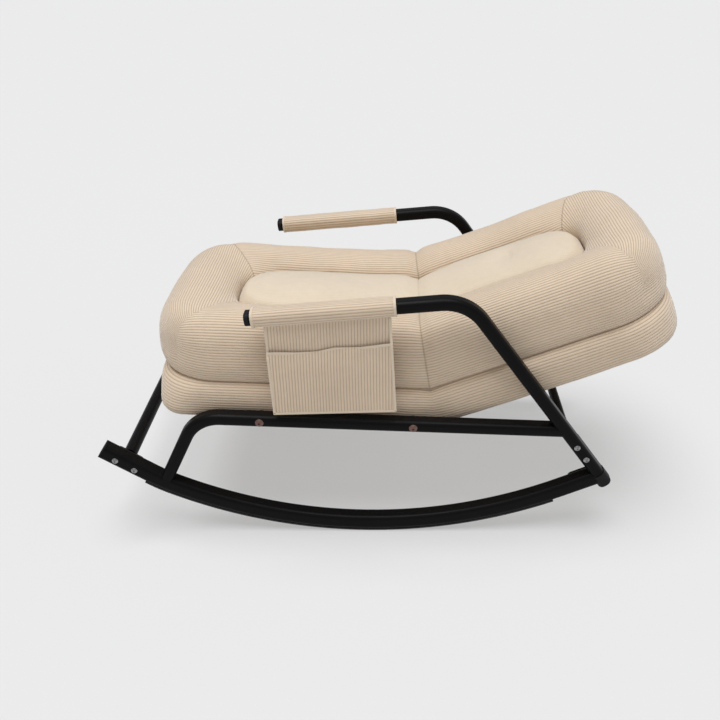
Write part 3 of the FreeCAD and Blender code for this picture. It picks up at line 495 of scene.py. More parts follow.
def new_group(name, inputs, outputs):
    """Empty shader node group with named sockets."""
    group = bpy.data.node_groups.new(name, "ShaderNodeTree")
    for label, kind, default in inputs:
        socket = group.interface.new_socket(name=label, in_out="INPUT", socket_type=kind)
        if default is not None:
            socket.default_value = default
    for label, kind in outputs:
        group.interface.new_socket(name=label, in_out="OUTPUT", socket_type=kind)
    return group, group.nodes.new("NodeGroupInput"), group.nodes.new("NodeGroupOutput")


class Wires:
    """Short ways to add and join nodes in one tree."""

    def __init__(self, tree):
        self.tree = tree

    def node(self, kind, **values):
        made = self.tree.nodes.new(kind)
        for key, value in values.items():
            setattr(made, key, value)
        return made

    def join(self, a, b):
        self.tree.links.new(a, b)

    def put(self, socket, value):
        if isinstance(value, bpy.types.NodeSocket):
            self.join(value, socket)
        else:
            socket.default_value = value

    def math(self, operation, a, b=None, c=None):
        made = self.node("ShaderNodeMath", operation=operation)
        for i, value in enumerate((a, b, c)):
            if value is not None:
                self.put(made.inputs[i], value)
        return made.outputs[0]

    def mix(self, share, a, b):
        made = self.node("ShaderNodeMix", data_type="RGBA")
        self.put(made.inputs[0], share)
        self.put(made.inputs[6], a)
        self.put(made.inputs[7], b)
        return made.outputs[2]

    def noise(self, vector, scale, detail=2.0, rough=0.5):
        made = self.node("ShaderNodeTexNoise")
        self.put(made.inputs["Vector"], vector)
        made.inputs["Scale"].default_value = scale
        made.inputs["Detail"].default_value = detail
        made.inputs["Roughness"].default_value = rough
        return made.outputs["Fac"]

    def range(self, value, low, high, to_low, to_high):
        made = self.node("ShaderNodeMapRange")
        for i, v in enumerate((value, low, high, to_low, to_high)):
            self.put(made.inputs[i], v)
        return made.outputs[0]


def ribs_group():
    """Ribs of a corded cloth: parallel rounded wales with narrow grooves and a fuzzy pile, and a mask for
    the shade painted into the grooves.
    """
    group, given, out = new_group("corded_ribs", [
        ("Across", "NodeSocketFloat", 0.0), ("Place", "NodeSocketVector", None),
        ("Pitch", "NodeSocketFloat", 0.007), ("Fuzz", "NodeSocketFloat", 0.25)],
        [("Height", "NodeSocketFloat"), ("GrooveShade", "NodeSocketFloat"), ("Tone", "NodeSocketFloat")])
    w = Wires(group)
    wander = w.noise(given.outputs["Place"], 9.0, 1.0)
    wander = w.math("MULTIPLY", w.math("SUBTRACT", wander, 0.5), 0.0016)
    phase = w.math("DIVIDE", w.math("ADD", given.outputs["Across"], wander), given.outputs["Pitch"])
    wave = w.math("ABSOLUTE", w.math("SINE", w.math("MULTIPLY", phase, math.pi)))
    wale = w.math("POWER", wave, 0.55)
    pile = w.noise(given.outputs["Place"], 1400.0, 3.0, 0.7)
    pile = w.math("MULTIPLY", w.math("SUBTRACT", pile, 0.5), given.outputs["Fuzz"])
    w.join(w.math("ADD", wale, pile), out.inputs["Height"])
    # Mask of the painted shade in the grooves between the wales
    groove_shade = w.math("POWER", w.math("SUBTRACT", 1.0, wave), 1.6)
    w.join(groove_shade, out.inputs["GrooveShade"])
    broad = w.noise(given.outputs["Place"], 5.0, 2.0)
    fine = w.noise(given.outputs["Place"], 60.0, 3.0)
    tone = w.math("ADD", w.math("MULTIPLY", broad, 0.6), w.math("MULTIPLY", fine, 0.4))
    w.join(tone, out.inputs["Tone"])
    return group


def weave_group():
    """Plain weave of fine yarns, for tapes and straps."""
    group, given, out = new_group("plain_weave", [
        ("Along", "NodeSocketFloat", 0.0), ("Across", "NodeSocketFloat", 0.0),
        ("Pitch", "NodeSocketFloat", 0.0012)],
        [("Height", "NodeSocketFloat")])
    w = Wires(group)
    a = w.math("MULTIPLY", w.math("DIVIDE", given.outputs["Along"], given.outputs["Pitch"]), math.pi)
    b = w.math("MULTIPLY", w.math("DIVIDE", given.outputs["Across"], given.outputs["Pitch"]), math.pi)
    over = w.math("MULTIPLY", w.math("SINE", a), w.math("COSINE", b))
    w.join(w.math("ADD", w.math("MULTIPLY", over, 0.5), 0.5), out.inputs["Height"])
    return group


def coat_group():
    """Powder paint: fine pebbled skin, faint clouding and dust on faces that look up."""
    group, given, out = new_group("powder_coat", [
        ("Place", "NodeSocketVector", None), ("Normal", "NodeSocketVector", None),
        ("Grain", "NodeSocketFloat", 900.0)],
        [("Height", "NodeSocketFloat"), ("Rough", "NodeSocketFloat"), ("Dust", "NodeSocketFloat")])
    w = Wires(group)
    scaled = w.node("ShaderNodeVectorMath", operation="SCALE")
    w.join(given.outputs["Place"], scaled.inputs[0])
    w.join(given.outputs["Grain"], scaled.inputs["Scale"])
    w.join(w.noise(scaled.outputs[0], 1.0, 2.0), out.inputs["Height"])
    cloud = w.noise(given.outputs["Place"], 14.0, 4.0, 0.6)
    w.join(cloud, out.inputs["Rough"])
    split = w.node("ShaderNodeSeparateXYZ")
    w.join(given.outputs["Normal"], split.inputs[0])
    up = w.range(split.outputs["Z"], 0.5, 1.0, 0.0, 1.0)
    speck = w.noise(given.outputs["Place"], 220.0, 4.0, 0.7)
    dust = w.math("MULTIPLY", up, w.range(speck, 0.45, 0.75, 0.0, 1.0))
    w.join(dust, out.inputs["Dust"])
    return group


def principled(name):
    """New material and the wires, shader and object coordinates in it."""
    material = bpy.data.materials.new(name)
    material.use_nodes = True
    tree = material.node_tree
    w = Wires(tree)
    shader = tree.nodes["Principled BSDF"]
    place = w.node("ShaderNodeTexCoord").outputs["Object"]
    return material, w, shader, place


def add_bump(w, shader, height, distance):
    """Bump whose full height is a distance in metres."""
    bump = w.node("ShaderNodeBump")
    bump.inputs["Distance"].default_value = distance
    w.join(height, bump.inputs["Height"])
    w.join(bump.outputs[0], shader.inputs["Normal"])


def use_group(w, group):
    """A node that holds a group."""
    return w.node("ShaderNodeGroup", node_tree=group)


def cloth_axes(w):
    """The piece's cloth map, split into its two directions."""
    split = w.node("ShaderNodeSeparateXYZ")
    w.join(w.node("ShaderNodeUVMap", uv_map="cloth").outputs[0], split.inputs[0])
    return split.outputs


def tinted(colour, share):
    """A colour made darker or lighter by a share."""
    return [min(1, c * share) for c in colour[:3]] + [1]


def corded_cloth(name, groups, colour, groove_shade, pitch, relief, contrast, uv_axis="Y", seams=False):
    """Corded cloth whose ribs follow the piece's cloth map, with shade painted into the grooves between the
    ribs.
    """
    material, w, shader, place = principled(name)
    axes = cloth_axes(w)
    ribs = use_group(w, groups["ribs"])
    w.join(axes[uv_axis], ribs.inputs["Across"])
    w.join(place, ribs.inputs["Place"])
    ribs.inputs["Pitch"].default_value = pitch
    # The grooves show the cloth's ground, painted much darker: painted shade that stands for the shade
    # falling into them
    share = w.math("MULTIPLY", ribs.outputs["GrooveShade"], contrast)
    tone = w.range(ribs.outputs["Tone"], 0.35, 0.65, 0.0, 1.0)
    body = w.mix(tone, tinted(colour, 0.95), tinted(colour, 1.03))
    shade = w.mix(share, body, groove_shade)
    # Where asked, thin dark lines of painted shade along the crease seams and the mitre seams, in a darker
    # groove colour
    if seams:
        mark = w.node("ShaderNodeAttribute", attribute_name="seam_shade")
        sewn = w.node("ShaderNodeAttribute", attribute_name="mitre")
        line = w.range(w.math("ABSOLUTE", axes["X"]), 0.0006, 0.0022, 1.0, 0.0)
        line = w.math("MULTIPLY", line, sewn.outputs["Fac"])
        line = w.math("MULTIPLY", w.math("MAXIMUM", line, mark.outputs["Fac"]), 0.6)
        shade = w.mix(line, shade, tinted(groove_shade, 0.75))
    w.join(shade, shader.inputs["Base Color"])
    shader.inputs["Roughness"].default_value = 0.92
    shader.inputs["Sheen Weight"].default_value = 0.5
    shader.inputs["Sheen Roughness"].default_value = 0.4
    shader.inputs["Specular IOR Level"].default_value = 0.2
    add_bump(w, shader, ribs.outputs["Height"], relief)
    return material


def tape_cloth(name, groups, colour, pitch, relief):
    """Woven tape."""
    material, w, shader, place = principled(name)
    axes = cloth_axes(w)
    weave = use_group(w, groups["weave"])
    w.join(axes["X"], weave.inputs["Along"])
    w.join(axes["Y"], weave.inputs["Across"])
    weave.inputs["Pitch"].default_value = pitch
    cloud = w.noise(place, 40.0, 3.0)
    dark = tinted(colour, 0.78)
    gap = w.math("SUBTRACT", 1.0, weave.outputs["Height"])
    shade = w.mix(w.math("MULTIPLY", gap, 0.6), colour, dark)
    shade = w.mix(w.math("MULTIPLY", cloud, 0.2), shade, dark)
    w.join(shade, shader.inputs["Base Color"])
    shader.inputs["Roughness"].default_value = 0.88
    shader.inputs["Sheen Weight"].default_value = 0.15
    add_bump(w, shader, weave.outputs["Height"], relief)
    return material


def coat_node(w, groups, place, grain):
    """The coat group, joined to the object's place and its surface's direction."""
    coat = use_group(w, groups["coat"])
    w.join(place, coat.inputs["Place"])
    w.join(w.node("ShaderNodeNewGeometry").outputs["Normal"], coat.inputs["Normal"])
    coat.inputs["Grain"].default_value = grain
    return coat


DUST = (0.32, 0.31, 0.30, 1)
DUST_SHARE = 0.02


def coated_metal(name, groups, colour, rough, metallic=0.0, grain=900.0, relief=0.00006, shine=0.07):
    """Painted or plated metal, and moulded plastic with a small grain."""
    material, w, shader, place = principled(name)
    coat = coat_node(w, groups, place, grain)
    shade = w.mix(w.math("MULTIPLY", coat.outputs["Dust"], DUST_SHARE), colour, DUST)
    w.join(shade, shader.inputs["Base Color"])
    w.join(w.range(coat.outputs["Rough"], 0.3, 0.7, rough - 0.05, rough + 0.07),
           shader.inputs["Roughness"])
    shader.inputs["Metallic"].default_value = metallic
    shader.inputs["Specular IOR Level"].default_value = shine
    add_bump(w, shader, coat.outputs["Height"], relief)
    return material


def tread_rubber(name, groups, colour):
    """Ribbed rubber strip, scuffed paler where it rolls on the floor."""
    material, w, shader, place = principled(name)
    coat = coat_node(w, groups, place, 500.0)
    scuff = w.range(w.noise(place, 30.0, 4.0, 0.7), 0.5, 0.75, 0.0, 0.35)
    w.join(w.mix(scuff, colour, (0.09, 0.085, 0.08, 1)), shader.inputs["Base Color"])
    w.join(w.range(coat.outputs["Rough"], 0.3, 0.7, 0.72, 0.88), shader.inputs["Roughness"])
    add_bump(w, shader, coat.outputs["Height"], 0.0002)
    return material


# The finishes by name, filled by the operator that makes them
MATERIALS = {}


def cad_finish(node):
    """Name of the finish that a CAD node which stays in sight gets."""
    if node.startswith("rocker_strip"):
        return "tread_rubber"
    if "cap" in node or "plug" in node:
        return "black_plastic"
    if node == "seat_bolts":
        return "warm_steel"
    if node.endswith(("bolts", "nuts")) or node.startswith("hinge") or node == "seat_spacers":
        return "zinc_steel"
    return "black_paint"


SOFT_NODES = (
    "seat_base_cushion", "back_base_cushion", "fold_base", "seat_rim_roll", "back_rim_roll", "fold_rim",
    "seat_pad", "back_pad", "fold_pad", "arm_sleeve_left", "arm_sleeve_right", "sleeve_binding_left",
    "sleeve_binding_right", "pocket_back_panel", "pocket_front_panel", "pocket_gusset", "seat_webbing",
    "back_webbing")


# Settings

class LoungeColours(bpy.types.PropertyGroup):
    """Colours of the cloths and finishes."""
    cord_cloth: bpy.props.FloatVectorProperty(
        name="Corded cloth", description="Colour of the rolls, the lower ring, sleeves and pocket",
        subtype="COLOR", size=4, min=0, max=1, default=(0.735, 0.590, 0.445, 1))
    # Painted shade: dark colour standing for the shade in the grooves between the ribs
    cord_groove_shade: bpy.props.FloatVectorProperty(
        name="Grooves", description="Colour between the ribs of the corded cloth",
        subtype="COLOR", size=4, min=0, max=1, default=(0.25, 0.195, 0.125, 1))
    pad_cloth: bpy.props.FloatVectorProperty(
        name="Pad cloth", description="Colour of the inner pads",
        subtype="COLOR", size=4, min=0, max=1, default=(0.71, 0.605, 0.47, 1))
    binding: bpy.props.FloatVectorProperty(
        name="Binding", description="Colour of the tape round the pocket and the sleeve ends",
        subtype="COLOR", size=4, min=0, max=1, default=(0.77, 0.645, 0.50, 1))
    strap: bpy.props.FloatVectorProperty(
        name="Straps", description="Colour of the straps under the cushion",
        subtype="COLOR", size=4, min=0, max=1, default=(0.05, 0.05, 0.055, 1))
    paint: bpy.props.FloatVectorProperty(
        name="Frame paint", description="Colour of the tube frame",
        subtype="COLOR", size=4, min=0, max=1, default=(0.0055, 0.0050, 0.0050, 1))
    bolt: bpy.props.FloatVectorProperty(
        name="Seat bolts", description="Colour of the large bolts under the seat",
        subtype="COLOR", size=4, min=0, max=1, default=(0.19, 0.115, 0.095, 1))
    floor: bpy.props.FloatVectorProperty(
        name="Floor", description="Colour of the floor",
        subtype="COLOR", size=4, min=0, max=1, default=(0.372, 0.369, 0.366, 1))


class LoungeSizes(bpy.types.PropertyGroup):
    """Sizes of the soft pieces."""
    wale: bpy.props.FloatProperty(
        name="Rib pitch", description="Distance from rib to rib of the corded cloth",
        unit="LENGTH", default=0.0068, min=0.003, max=0.02)
    relief: bpy.props.FloatProperty(
        name="Rib height", description="How far a rib stands over its groove",
        unit="LENGTH", default=0.0011, min=0.0, max=0.004)
    side_half: bpy.props.FloatProperty(
        name="Roll half width", description="From the middle to the outside of a side roll",
        unit="LENGTH", default=0.2725, min=0.2, max=0.3)
    foot: bpy.props.FloatProperty(
        name="Foot reach", description="From the hinge to the foot end of the roll, in the seat's plane",
        unit="LENGTH", default=0.659, min=0.5, max=0.7)
    head: bpy.props.FloatProperty(
        name="Head reach", description="From the hinge to the head end of the roll, in the back's plane",
        unit="LENGTH", default=0.604, min=0.5, max=0.7)
    crest: bpy.props.FloatProperty(
        name="Roll height", description="Crest of the roll over the hinge plane",
        unit="LENGTH", default=0.2365, min=0.2, max=0.25)
    foot_bow: bpy.props.FloatProperty(
        name="Foot bow", description="How far the foot end bows outward at the middle line",
        unit="LENGTH", default=0.0185, min=0.0, max=0.03)
    head_bow: bpy.props.FloatProperty(
        name="Head bow", description="How far the head end bows outward at the middle line",
        unit="LENGTH", default=0.022, min=0.0, max=0.03)
    pad_crown: bpy.props.FloatProperty(
        name="Pad height", description="Middle of the pads over the hinge plane",
        unit="LENGTH", default=0.223, min=0.18, max=0.23)


class LoungeSettings(bpy.types.PropertyGroup):
    """All the chair's settings."""
    colours: bpy.props.PointerProperty(type=LoungeColours)
    sizes: bpy.props.PointerProperty(type=LoungeSizes)


# Pieces

class LOUNGE_OT_finishes(bpy.types.Operator):
    """Makes the finishes and puts them on the tubes, plates, caps and fasteners"""
    bl_idname = "lounge.finishes"
    bl_label = "Finishes"

    def execute(self, context):
        colours = context.scene.lounge.colours
        sizes = context.scene.lounge.sizes
        groups = {"ribs": ribs_group(), "weave": weave_group(), "coat": coat_group()}
        made = MATERIALS
        cord, groove_shade = tuple(colours.cord_cloth), tuple(colours.cord_groove_shade)
        pad = tuple(colours.pad_cloth)
        made["corduroy"] = corded_cloth("corduroy", groups, cord, groove_shade, sizes.wale, sizes.relief, 0.5,
                                        seams=True)
        made["corduroy_sheet"] = corded_cloth("corduroy_sheet", groups, cord, groove_shade, sizes.wale,
                                              sizes.relief * 0.8, 0.5, uv_axis="X")
        # The pad's grooves get painted shade a fifth darker than its cloth
        made["pad_cloth"] = corded_cloth("pad_cloth", groups, pad, tinted(pad, 0.8), sizes.wale * 0.8,
                                         sizes.relief * 0.3, 0.32, seams=True)
        made["binding_cloth"] = tape_cloth("binding_cloth", groups, tuple(colours.binding), 0.0011, 0.0002)
        made["webbing"] = tape_cloth("webbing", groups, tuple(colours.strap), 0.0024, 0.0005)
        made["black_paint"] = coated_metal("black_paint", groups, tuple(colours.paint), 0.36)
        made["black_plastic"] = coated_metal("black_plastic", groups, (0.016, 0.016, 0.017, 1), 0.5,
                                             grain=1600.0)
        made["zinc_steel"] = coated_metal("zinc_steel", groups, (0.33, 0.33, 0.34, 1), 0.34, metallic=1.0,
                                          shine=0.5, grain=2600.0, relief=0.00003)
        made["warm_steel"] = coated_metal("warm_steel", groups, tuple(colours.bolt), 0.42, metallic=0.75,
                                          shine=0.5, grain=2600.0, relief=0.00004)
        made["tread_rubber"] = tread_rubber("tread_rubber", groups, (0.022, 0.02, 0.02, 1))
        for name, obj in frame["nodes"].items():
            if name in SOFT_NODES:
                continue
            finish = made[cad_finish(name)]
            if not obj.data.materials:
                obj.data.materials.append(finish)
            for slot in obj.material_slots:
                slot.material = finish
        return {"FINISHED"}


# The roll's mean width, the spacing of its rows, how far the middle of its section lies inward at the
# sides, foot and head, and how much closer its cords stand at the two ends
ROLL_MEAN = 0.168
ROLL_STEP = 0.0078
CORE_IN = (0.108, 0.118, 0.110)
END_CORDS = 1.12


class LOUNGE_OT_rim_roll(bpy.types.Operator):
    """Fat corded roll round the seat and back, sewn at the four corners and at the crease"""
    bl_idname = "lounge.rim_roll"
    bl_label = "Rim roll"

    def execute(self, context):
        sizes = context.scene.lounge.sizes
        rows, across = self.section(sizes.crest)
        grid = []
        for share, up, radius in rows:
            ring, marks = ring_points(sizes.foot - ROLL_FOOT * share, sizes.head - ROLL_HEAD * share,
                                      sizes.side_half - ROLL_SIDE * share, radius)
            grid.append(level_ring(ring, up))
        grid, seam_shade = self.filled(bow_ends(np.array(grid), sizes), marks)
        obj = cushion_mesh("rim_roll", grid, True, across, seam_shade)
        outsides = (sizes.side_half, sizes.foot, sizes.head)
        middles = [outside - inward for outside, inward in zip(outsides, CORE_IN)]
        tables = [leg_table(middles[0], outsides[0], ROLL_SIDE, rows, 1.0),
                  leg_table(middles[1], outsides[1], ROLL_FOOT, rows, END_CORDS),
                  leg_table(middles[2], outsides[2], ROLL_HEAD, rows, END_CORDS)]
        cord_across(obj, middles, tables)
        lay_over_crease(obj, "seat_rim_roll", "fold_rim", "back_rim_roll", "corduroy")
        return {"FINISHED"}

    def section(self, crest):
        """Rows round the roll: share of its width from the outside in, height, and corner radius."""
        outline = [(0.12, 0.0705, 0.120), (0.025, 0.093, 0.136), (0.0, 0.130, 0.144), (0.032, 0.178, 0.138),
                   (0.15, 0.214, 0.116), (0.34, crest - 0.003, 0.082), (0.54, crest, 0.062),
                   (0.75, crest - 0.008, 0.062), (0.92, 0.210, 0.078), (0.985, 0.188, 0.090),
                   (0.99, 0.155, 0.090), (0.95, 0.108, 0.090), (0.84, 0.0780, 0.090), (0.45, 0.0640, 0.100)]
        curve = closed_spline(outline)
        run = run_along(curve[:, :2] * (ROLL_MEAN, 1.0))
        rows, across = evenly(curve, run, int(run[-1] / ROLL_STEP))
        return rows[:-1], across

    def filled(self, grid, marks):
        """The roll's cover with its filling: puffs, a waist along the sides, and pulled in at the seams."""
        runs, whole = ring_lengths(grid)
        normals = -grid_normals(grid, True)
        if np.mean(np.sum(normals * (grid - grid.mean(axis=0, keepdims=True)), axis=2)) < 0:
            normals = -normals
        showing = ease((grid[:, :, 2] - 0.09) / 0.03)
        inside = np.zeros(grid.shape[:2])
        # Dark line of painted shade along each crease seam, where the cover is pulled in
        seam_shade = np.zeros(grid.shape[:2])
        for name in ("crease_near", "crease_far"):
            away = from_mark(runs, whole, marks[name])
            inside += tucked(away, CREASE_TUCKS)
            seam_shade = np.maximum(seam_shade, bell(away, SEAM_SHADE_WIDTH) * 0.8)
        inside += tucked(past_mitre(grid[:, :, 0], grid[:, :, 1]), MITRE_TUCKS)
        reach = np.abs(grid[:, :, 0])
        ends = ease((reach - 0.42) / 0.1)
        waist = 0.004 * (1 - ends) * np.sin(np.clip(reach / 0.5, 0, 1) * math.pi)
        puffs = puffed(grid, "rim_roll")
        return grid + normals * ((puffs - inside - waist) * showing)[:, :, None], seam_shade


def lay_over_crease(obj, seat, fold, back, slot):
    bend_object(obj)
    obj.data.materials.append(MATERIALS[slot])
    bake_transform(obj)
    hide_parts(seat, fold, back)


# The lower cushion's half width, how far it ends inside the roll at foot and head, and how far its
# edge hangs down under the back
BASE_HALF = 0.278
BASE_IN = 0.003
BACK_HANG = 0.006


class LOUNGE_OT_base_cushion(bpy.types.Operator):
    """Lower cushion, whose rounded edge shows under the roll"""
    bl_idname = "lounge.base_cushion"
    bl_label = "Base cushion"

    def execute(self, context):
        sizes = context.scene.lounge.sizes
        # Inset from the outside, height, and the ring's corner radius at the foot and at the head
        outline = [(0.277, 0.0700, 0.0, 0.0), (0.20, 0.0705, 0.04, 0.04), (0.10, 0.0720, 0.08, 0.08),
                   (0.044, 0.0735, 0.110, 0.110), (0.0195, 0.0710, 0.106, 0.122),
                   (0.0055, 0.060, 0.100, 0.126), (0.0005, 0.040, 0.090, 0.126), (0.0, 0.016, 0.073, 0.122),
                   (0.0015, -0.003, 0.060, 0.116), (0.008, -0.0150, 0.053, 0.108),
                   (0.020, -0.0190, 0.048, 0.100), (0.034, -0.0170, 0.045, 0.092),
                   (0.044, -0.008, 0.05, 0.088), (0.050, 0.0, 0.05, 0.08), (0.10, 0.0, 0.05, 0.06),
                   (0.20, 0.0, 0.03, 0.03), (0.277, 0.0, 0.0, 0.0)]
        rows, across = outline_rows(outline, 0.0078)
        grid = []
        for inset, up, foot_radius, head_radius in rows:
            inward = inset + BASE_IN
            ring, marks = ring_points(sizes.foot - inward, sizes.head - inward, max(BASE_HALF - inset, 0.0),
                                      foot_radius, head_radius)
            grid.append(level_ring(ring, up))
        grid = bow_ends(np.array(grid), sizes)
        along, up = grid[:, :, 0], grid[:, :, 2]
        hang = ease((0.08 - up) / 0.08) * ease((along + 0.03) / 0.06)
        hang *= 1 - 0.6 * ease((along - 0.25) / 0.3)
        grid[:, :, 2] = up - BACK_HANG * hang
        runs, whole = ring_lengths(grid)
        normals = grid_normals(grid, False)
        outer = slice(len(rows) // 2 - 4, len(rows) // 2 + 4)
        if np.mean(np.sum(normals[outer, :, :2] * grid[outer, :, :2], axis=2)) < 0:
            normals = -normals
        showing = ease((0.03 - rows[:, :1]) / 0.01)
        inside = np.zeros(grid.shape[:2])
        for name in ("crease_near", "crease_far"):
            inside += tucked(from_mark(runs, whole, marks[name]), BASE_TUCKS)
        puffs = puffed(grid, "base_cushion")
        grid = grid + normals * ((puffs - inside) * showing)[:, :, None]
        obj = cushion_mesh("base_cushion", grid, False, across, np.zeros(grid.shape[:2]))
        lay_over_crease(obj, "seat_base_cushion", "fold_base", "back_base_cushion", "corduroy")
        return {"FINISHED"}


# The pads' reach from the hinge to foot and head, their half width, the height of their edge, and the
# dimple's distance from the hinge
PAD_FOOT, PAD_HEAD, PAD_HALF = 0.4845, 0.4535, 0.1165
PAD_EDGE = 0.204
DIMPLE_AT = 0.276


class LOUNGE_OT_pads(bpy.types.Operator):
    """Long smooth pad inside the roll, creased where the back tilts, with a soft dimple in the back"""
    bl_idname = "lounge.pads"
    bl_label = "Pads"

    def execute(self, context):
        sizes = context.scene.lounge.sizes
        edge, crown, half = PAD_EDGE, sizes.pad_crown, PAD_HALF
        # Inset from the outside, height, and the ring's corner radius
        outline = [(half, 0.0850, 0.0), (0.07, 0.0850, 0.04), (0.02, 0.0852, 0.076), (0.004, 0.090, 0.088),
                   (0.0, 0.11, 0.09), (0.0, 0.155, 0.09), (0.0010, 0.178, 0.09), (0.006, 0.1905, 0.089),
                   (0.016, edge + 0.001, 0.084), (0.032, edge + 0.0065, 0.072),
                   (0.056, crown - 0.0050, 0.052), (0.085, crown - 0.0012, 0.026), (half, crown, 0.0)]
        rows, across = outline_rows(outline, 0.0068)
        grid = []
        for inset, up, radius in rows:
            side = max(half - inset, 0.0)
            ring, _ = ring_points(PAD_FOOT - inset, PAD_HEAD - inset, side, min(radius, side))
            grid.append(level_ring(ring, up))
        grid = bow_ends(np.array(grid), sizes)
        s, y, up = grid[:, :, 0], grid[:, :, 1], grid[:, :, 2]
        top = ease((up - 0.15) / 0.03)
        dip = tucked(s, PAD_TUCKS)
        dip += 0.0065 * bell(np.hypot(s - DIMPLE_AT, y * 0.8), 0.038)
        wrinkle = np.abs(s - DIMPLE_AT - 0.012 + (y / 0.05) ** 2 * 0.012)
        dip += 0.0022 * bell(wrinkle, 0.0045) * bell(y, 0.03)
        lift = puffed(grid, "inner_pad")
        for start, length in ((-0.46, 0.46), (0.0, 0.44)):
            lift += 0.004 * np.sin(np.clip((s - start) / length, 0, 1) * math.pi) * bell(y, 0.09)
        grid[:, :, 2] = up + (lift - dip) * top
        # Dark line of painted shade along the pad's crease seam
        seam_shade = bell(s, SEAM_SHADE_WIDTH) * top * 0.6
        obj = cushion_mesh("inner_pad", grid, False, across, seam_shade)
        flat = corner_points(obj.data)[:, :2]
        obj.data.uv_layers["cloth"].data.foreach_set("uv", flat.astype(np.float32).ravel())
        lay_over_crease(obj, "seat_pad", "fold_pad", "back_pad", "pad_cloth")
        return {"FINISHED"}


# Padded arms

ARM_SLOPE = math.radians(4.9)
ARM_LINE_X = 0.2124 - MIDDLE_FROM_TOUCH
ARM_LINE_Z = 0.627
SLEEVE_FROM = -0.261 - MIDDLE_FROM_TOUCH
SLEEVE_TO = 0.057 - MIDDLE_FROM_TOUCH
ARM_Y = 0.300
ROUND_POINTS = 64
# Sections across the arm: width, height and corner radius
SLEEVE_INSIDE = (0.0404, 0.0304, 0.0122)
SLEEVE_OUTSIDE = (0.0492, 0.0392, 0.0165)
BAND_INSIDE = (0.0482, 0.0382, 0.016)
# The tape round a sleeve's end: its width, and its middle's distance from the end
BAND_WIDTH = 0.0062
BAND_AT = 0.0032


def arm_height(x):
    """Height of the arm tube's middle at x."""
    return ARM_LINE_Z + math.tan(ARM_SLOPE) * (x - ARM_LINE_X)


def on_arm(x, side, w, h):
    """Place at w across and h above the arm tube's middle line, at x along the chair."""
    return (x - h * math.sin(ARM_SLOPE), side * ARM_Y + w, arm_height(x) + h * math.cos(ARM_SLOPE))


def round_box_section(wide, high, radius):
    """Points round a rounded rectangle, starting at the middle of the underside, and its length."""
    corner = 2 * math.pi * radius / 4
    upright, flat = high - 2 * radius, wide - 2 * radius
    runs = [flat / 2, corner, upright, corner, flat, corner, upright, corner, flat / 2]
    whole = sum(runs)
    points = []
    for k in range(ROUND_POINTS):
        left = whole * k / ROUND_POINTS
        i = 0
        while left > runs[i]:
            left -= runs[i]
            i += 1
        half_w, half_h = wide / 2, high / 2
        if i == 0:
            p = (left, -half_h)
        elif i == 8:
            p = (-(half_w - radius) + left, -half_h)
        elif i == 2:
            p = (half_w, -half_h + radius + left)
        elif i == 4:
            p = (half_w - radius - left, half_h)
        elif i == 6:
            p = (-half_w, half_h - radius - left)
        else:
            a = left / radius
            centre = {1: (half_w - radius, -half_h + radius, -math.pi / 2),
                      3: (half_w - radius, half_h - radius, 0.0),
                      5: (-half_w + radius, half_h - radius, math.pi / 2),
                      7: (-half_w + radius, -half_h + radius, math.pi)}[i]
            p = (centre[0] + radius * math.cos(centre[2] + a), centre[1] + radius * math.sin(centre[2] + a))
        points.append(p)
    return np.array(points), whole


def sleeve_mesh(name, side):
    """Padded tube of corded cloth round the arm, a little fuller between its ends."""
    inner, _ = round_box_section(*SLEEVE_INSIDE)
    outer, whole = round_box_section(*SLEEVE_OUTSIDE)
    length = SLEEVE_TO - SLEEVE_FROM
    stops = EDGE_STOPS + list(np.linspace(PAST_EDGE, length - PAST_EDGE, 40))
    stops += [length - q for q in reversed(EDGE_STOPS)]
    rings = [(SLEEVE_FROM + 0.003, inner), (SLEEVE_FROM + 0.0004, inner * 1.02)]
    for at in stops:
        edge = min(at, length - at)
        full = 1.0 - 0.055 * float(bell(np.array(edge), 0.006)) + 0.018 * math.sin(math.pi * at / length)
        rings.append((SLEEVE_FROM + at, outer * full))
    rings += [(SLEEVE_TO - 0.0004, inner * 1.02), (SLEEVE_TO - 0.003, inner)]
    count = len(outer)
    verts = [on_arm(x, side, w, h) for x, section in rings for w, h in section]
    faces = []
    uvs = []
    for i in range(len(rings) - 1):
        for j in range(count):
            m = (j + 1) % count
            faces.append((i * count + j, i * count + m, (i + 1) * count + m, (i + 1) * count + j))
            a, b = whole * j / count, whole * (j + 1) / count
            uvs += [(rings[i][0], a), (rings[i][0], b), (rings[i + 1][0], b), (rings[i + 1][0], a)]
    obj = new_mesh_object(name, verts, faces)
    mesh = obj.data
    mesh.uv_layers.new(name="cloth").data.foreach_set("uv", np.array(uvs, np.float32).ravel())
    for v in mesh.vertices[count * 2:count * (len(rings) - 2)]:
        amount = 0.0009 * noise.noise(v.co * 28) + 0.0005 * noise.noise(v.co * 70)
        centre = Vector((v.co.x, side * ARM_Y, arm_height(v.co.x)))
        v.co = v.co + (v.co - centre).normalized() * amount
    face_outward(mesh)
    make_active(obj)
    bpy.ops.object.shade_smooth()
    return obj


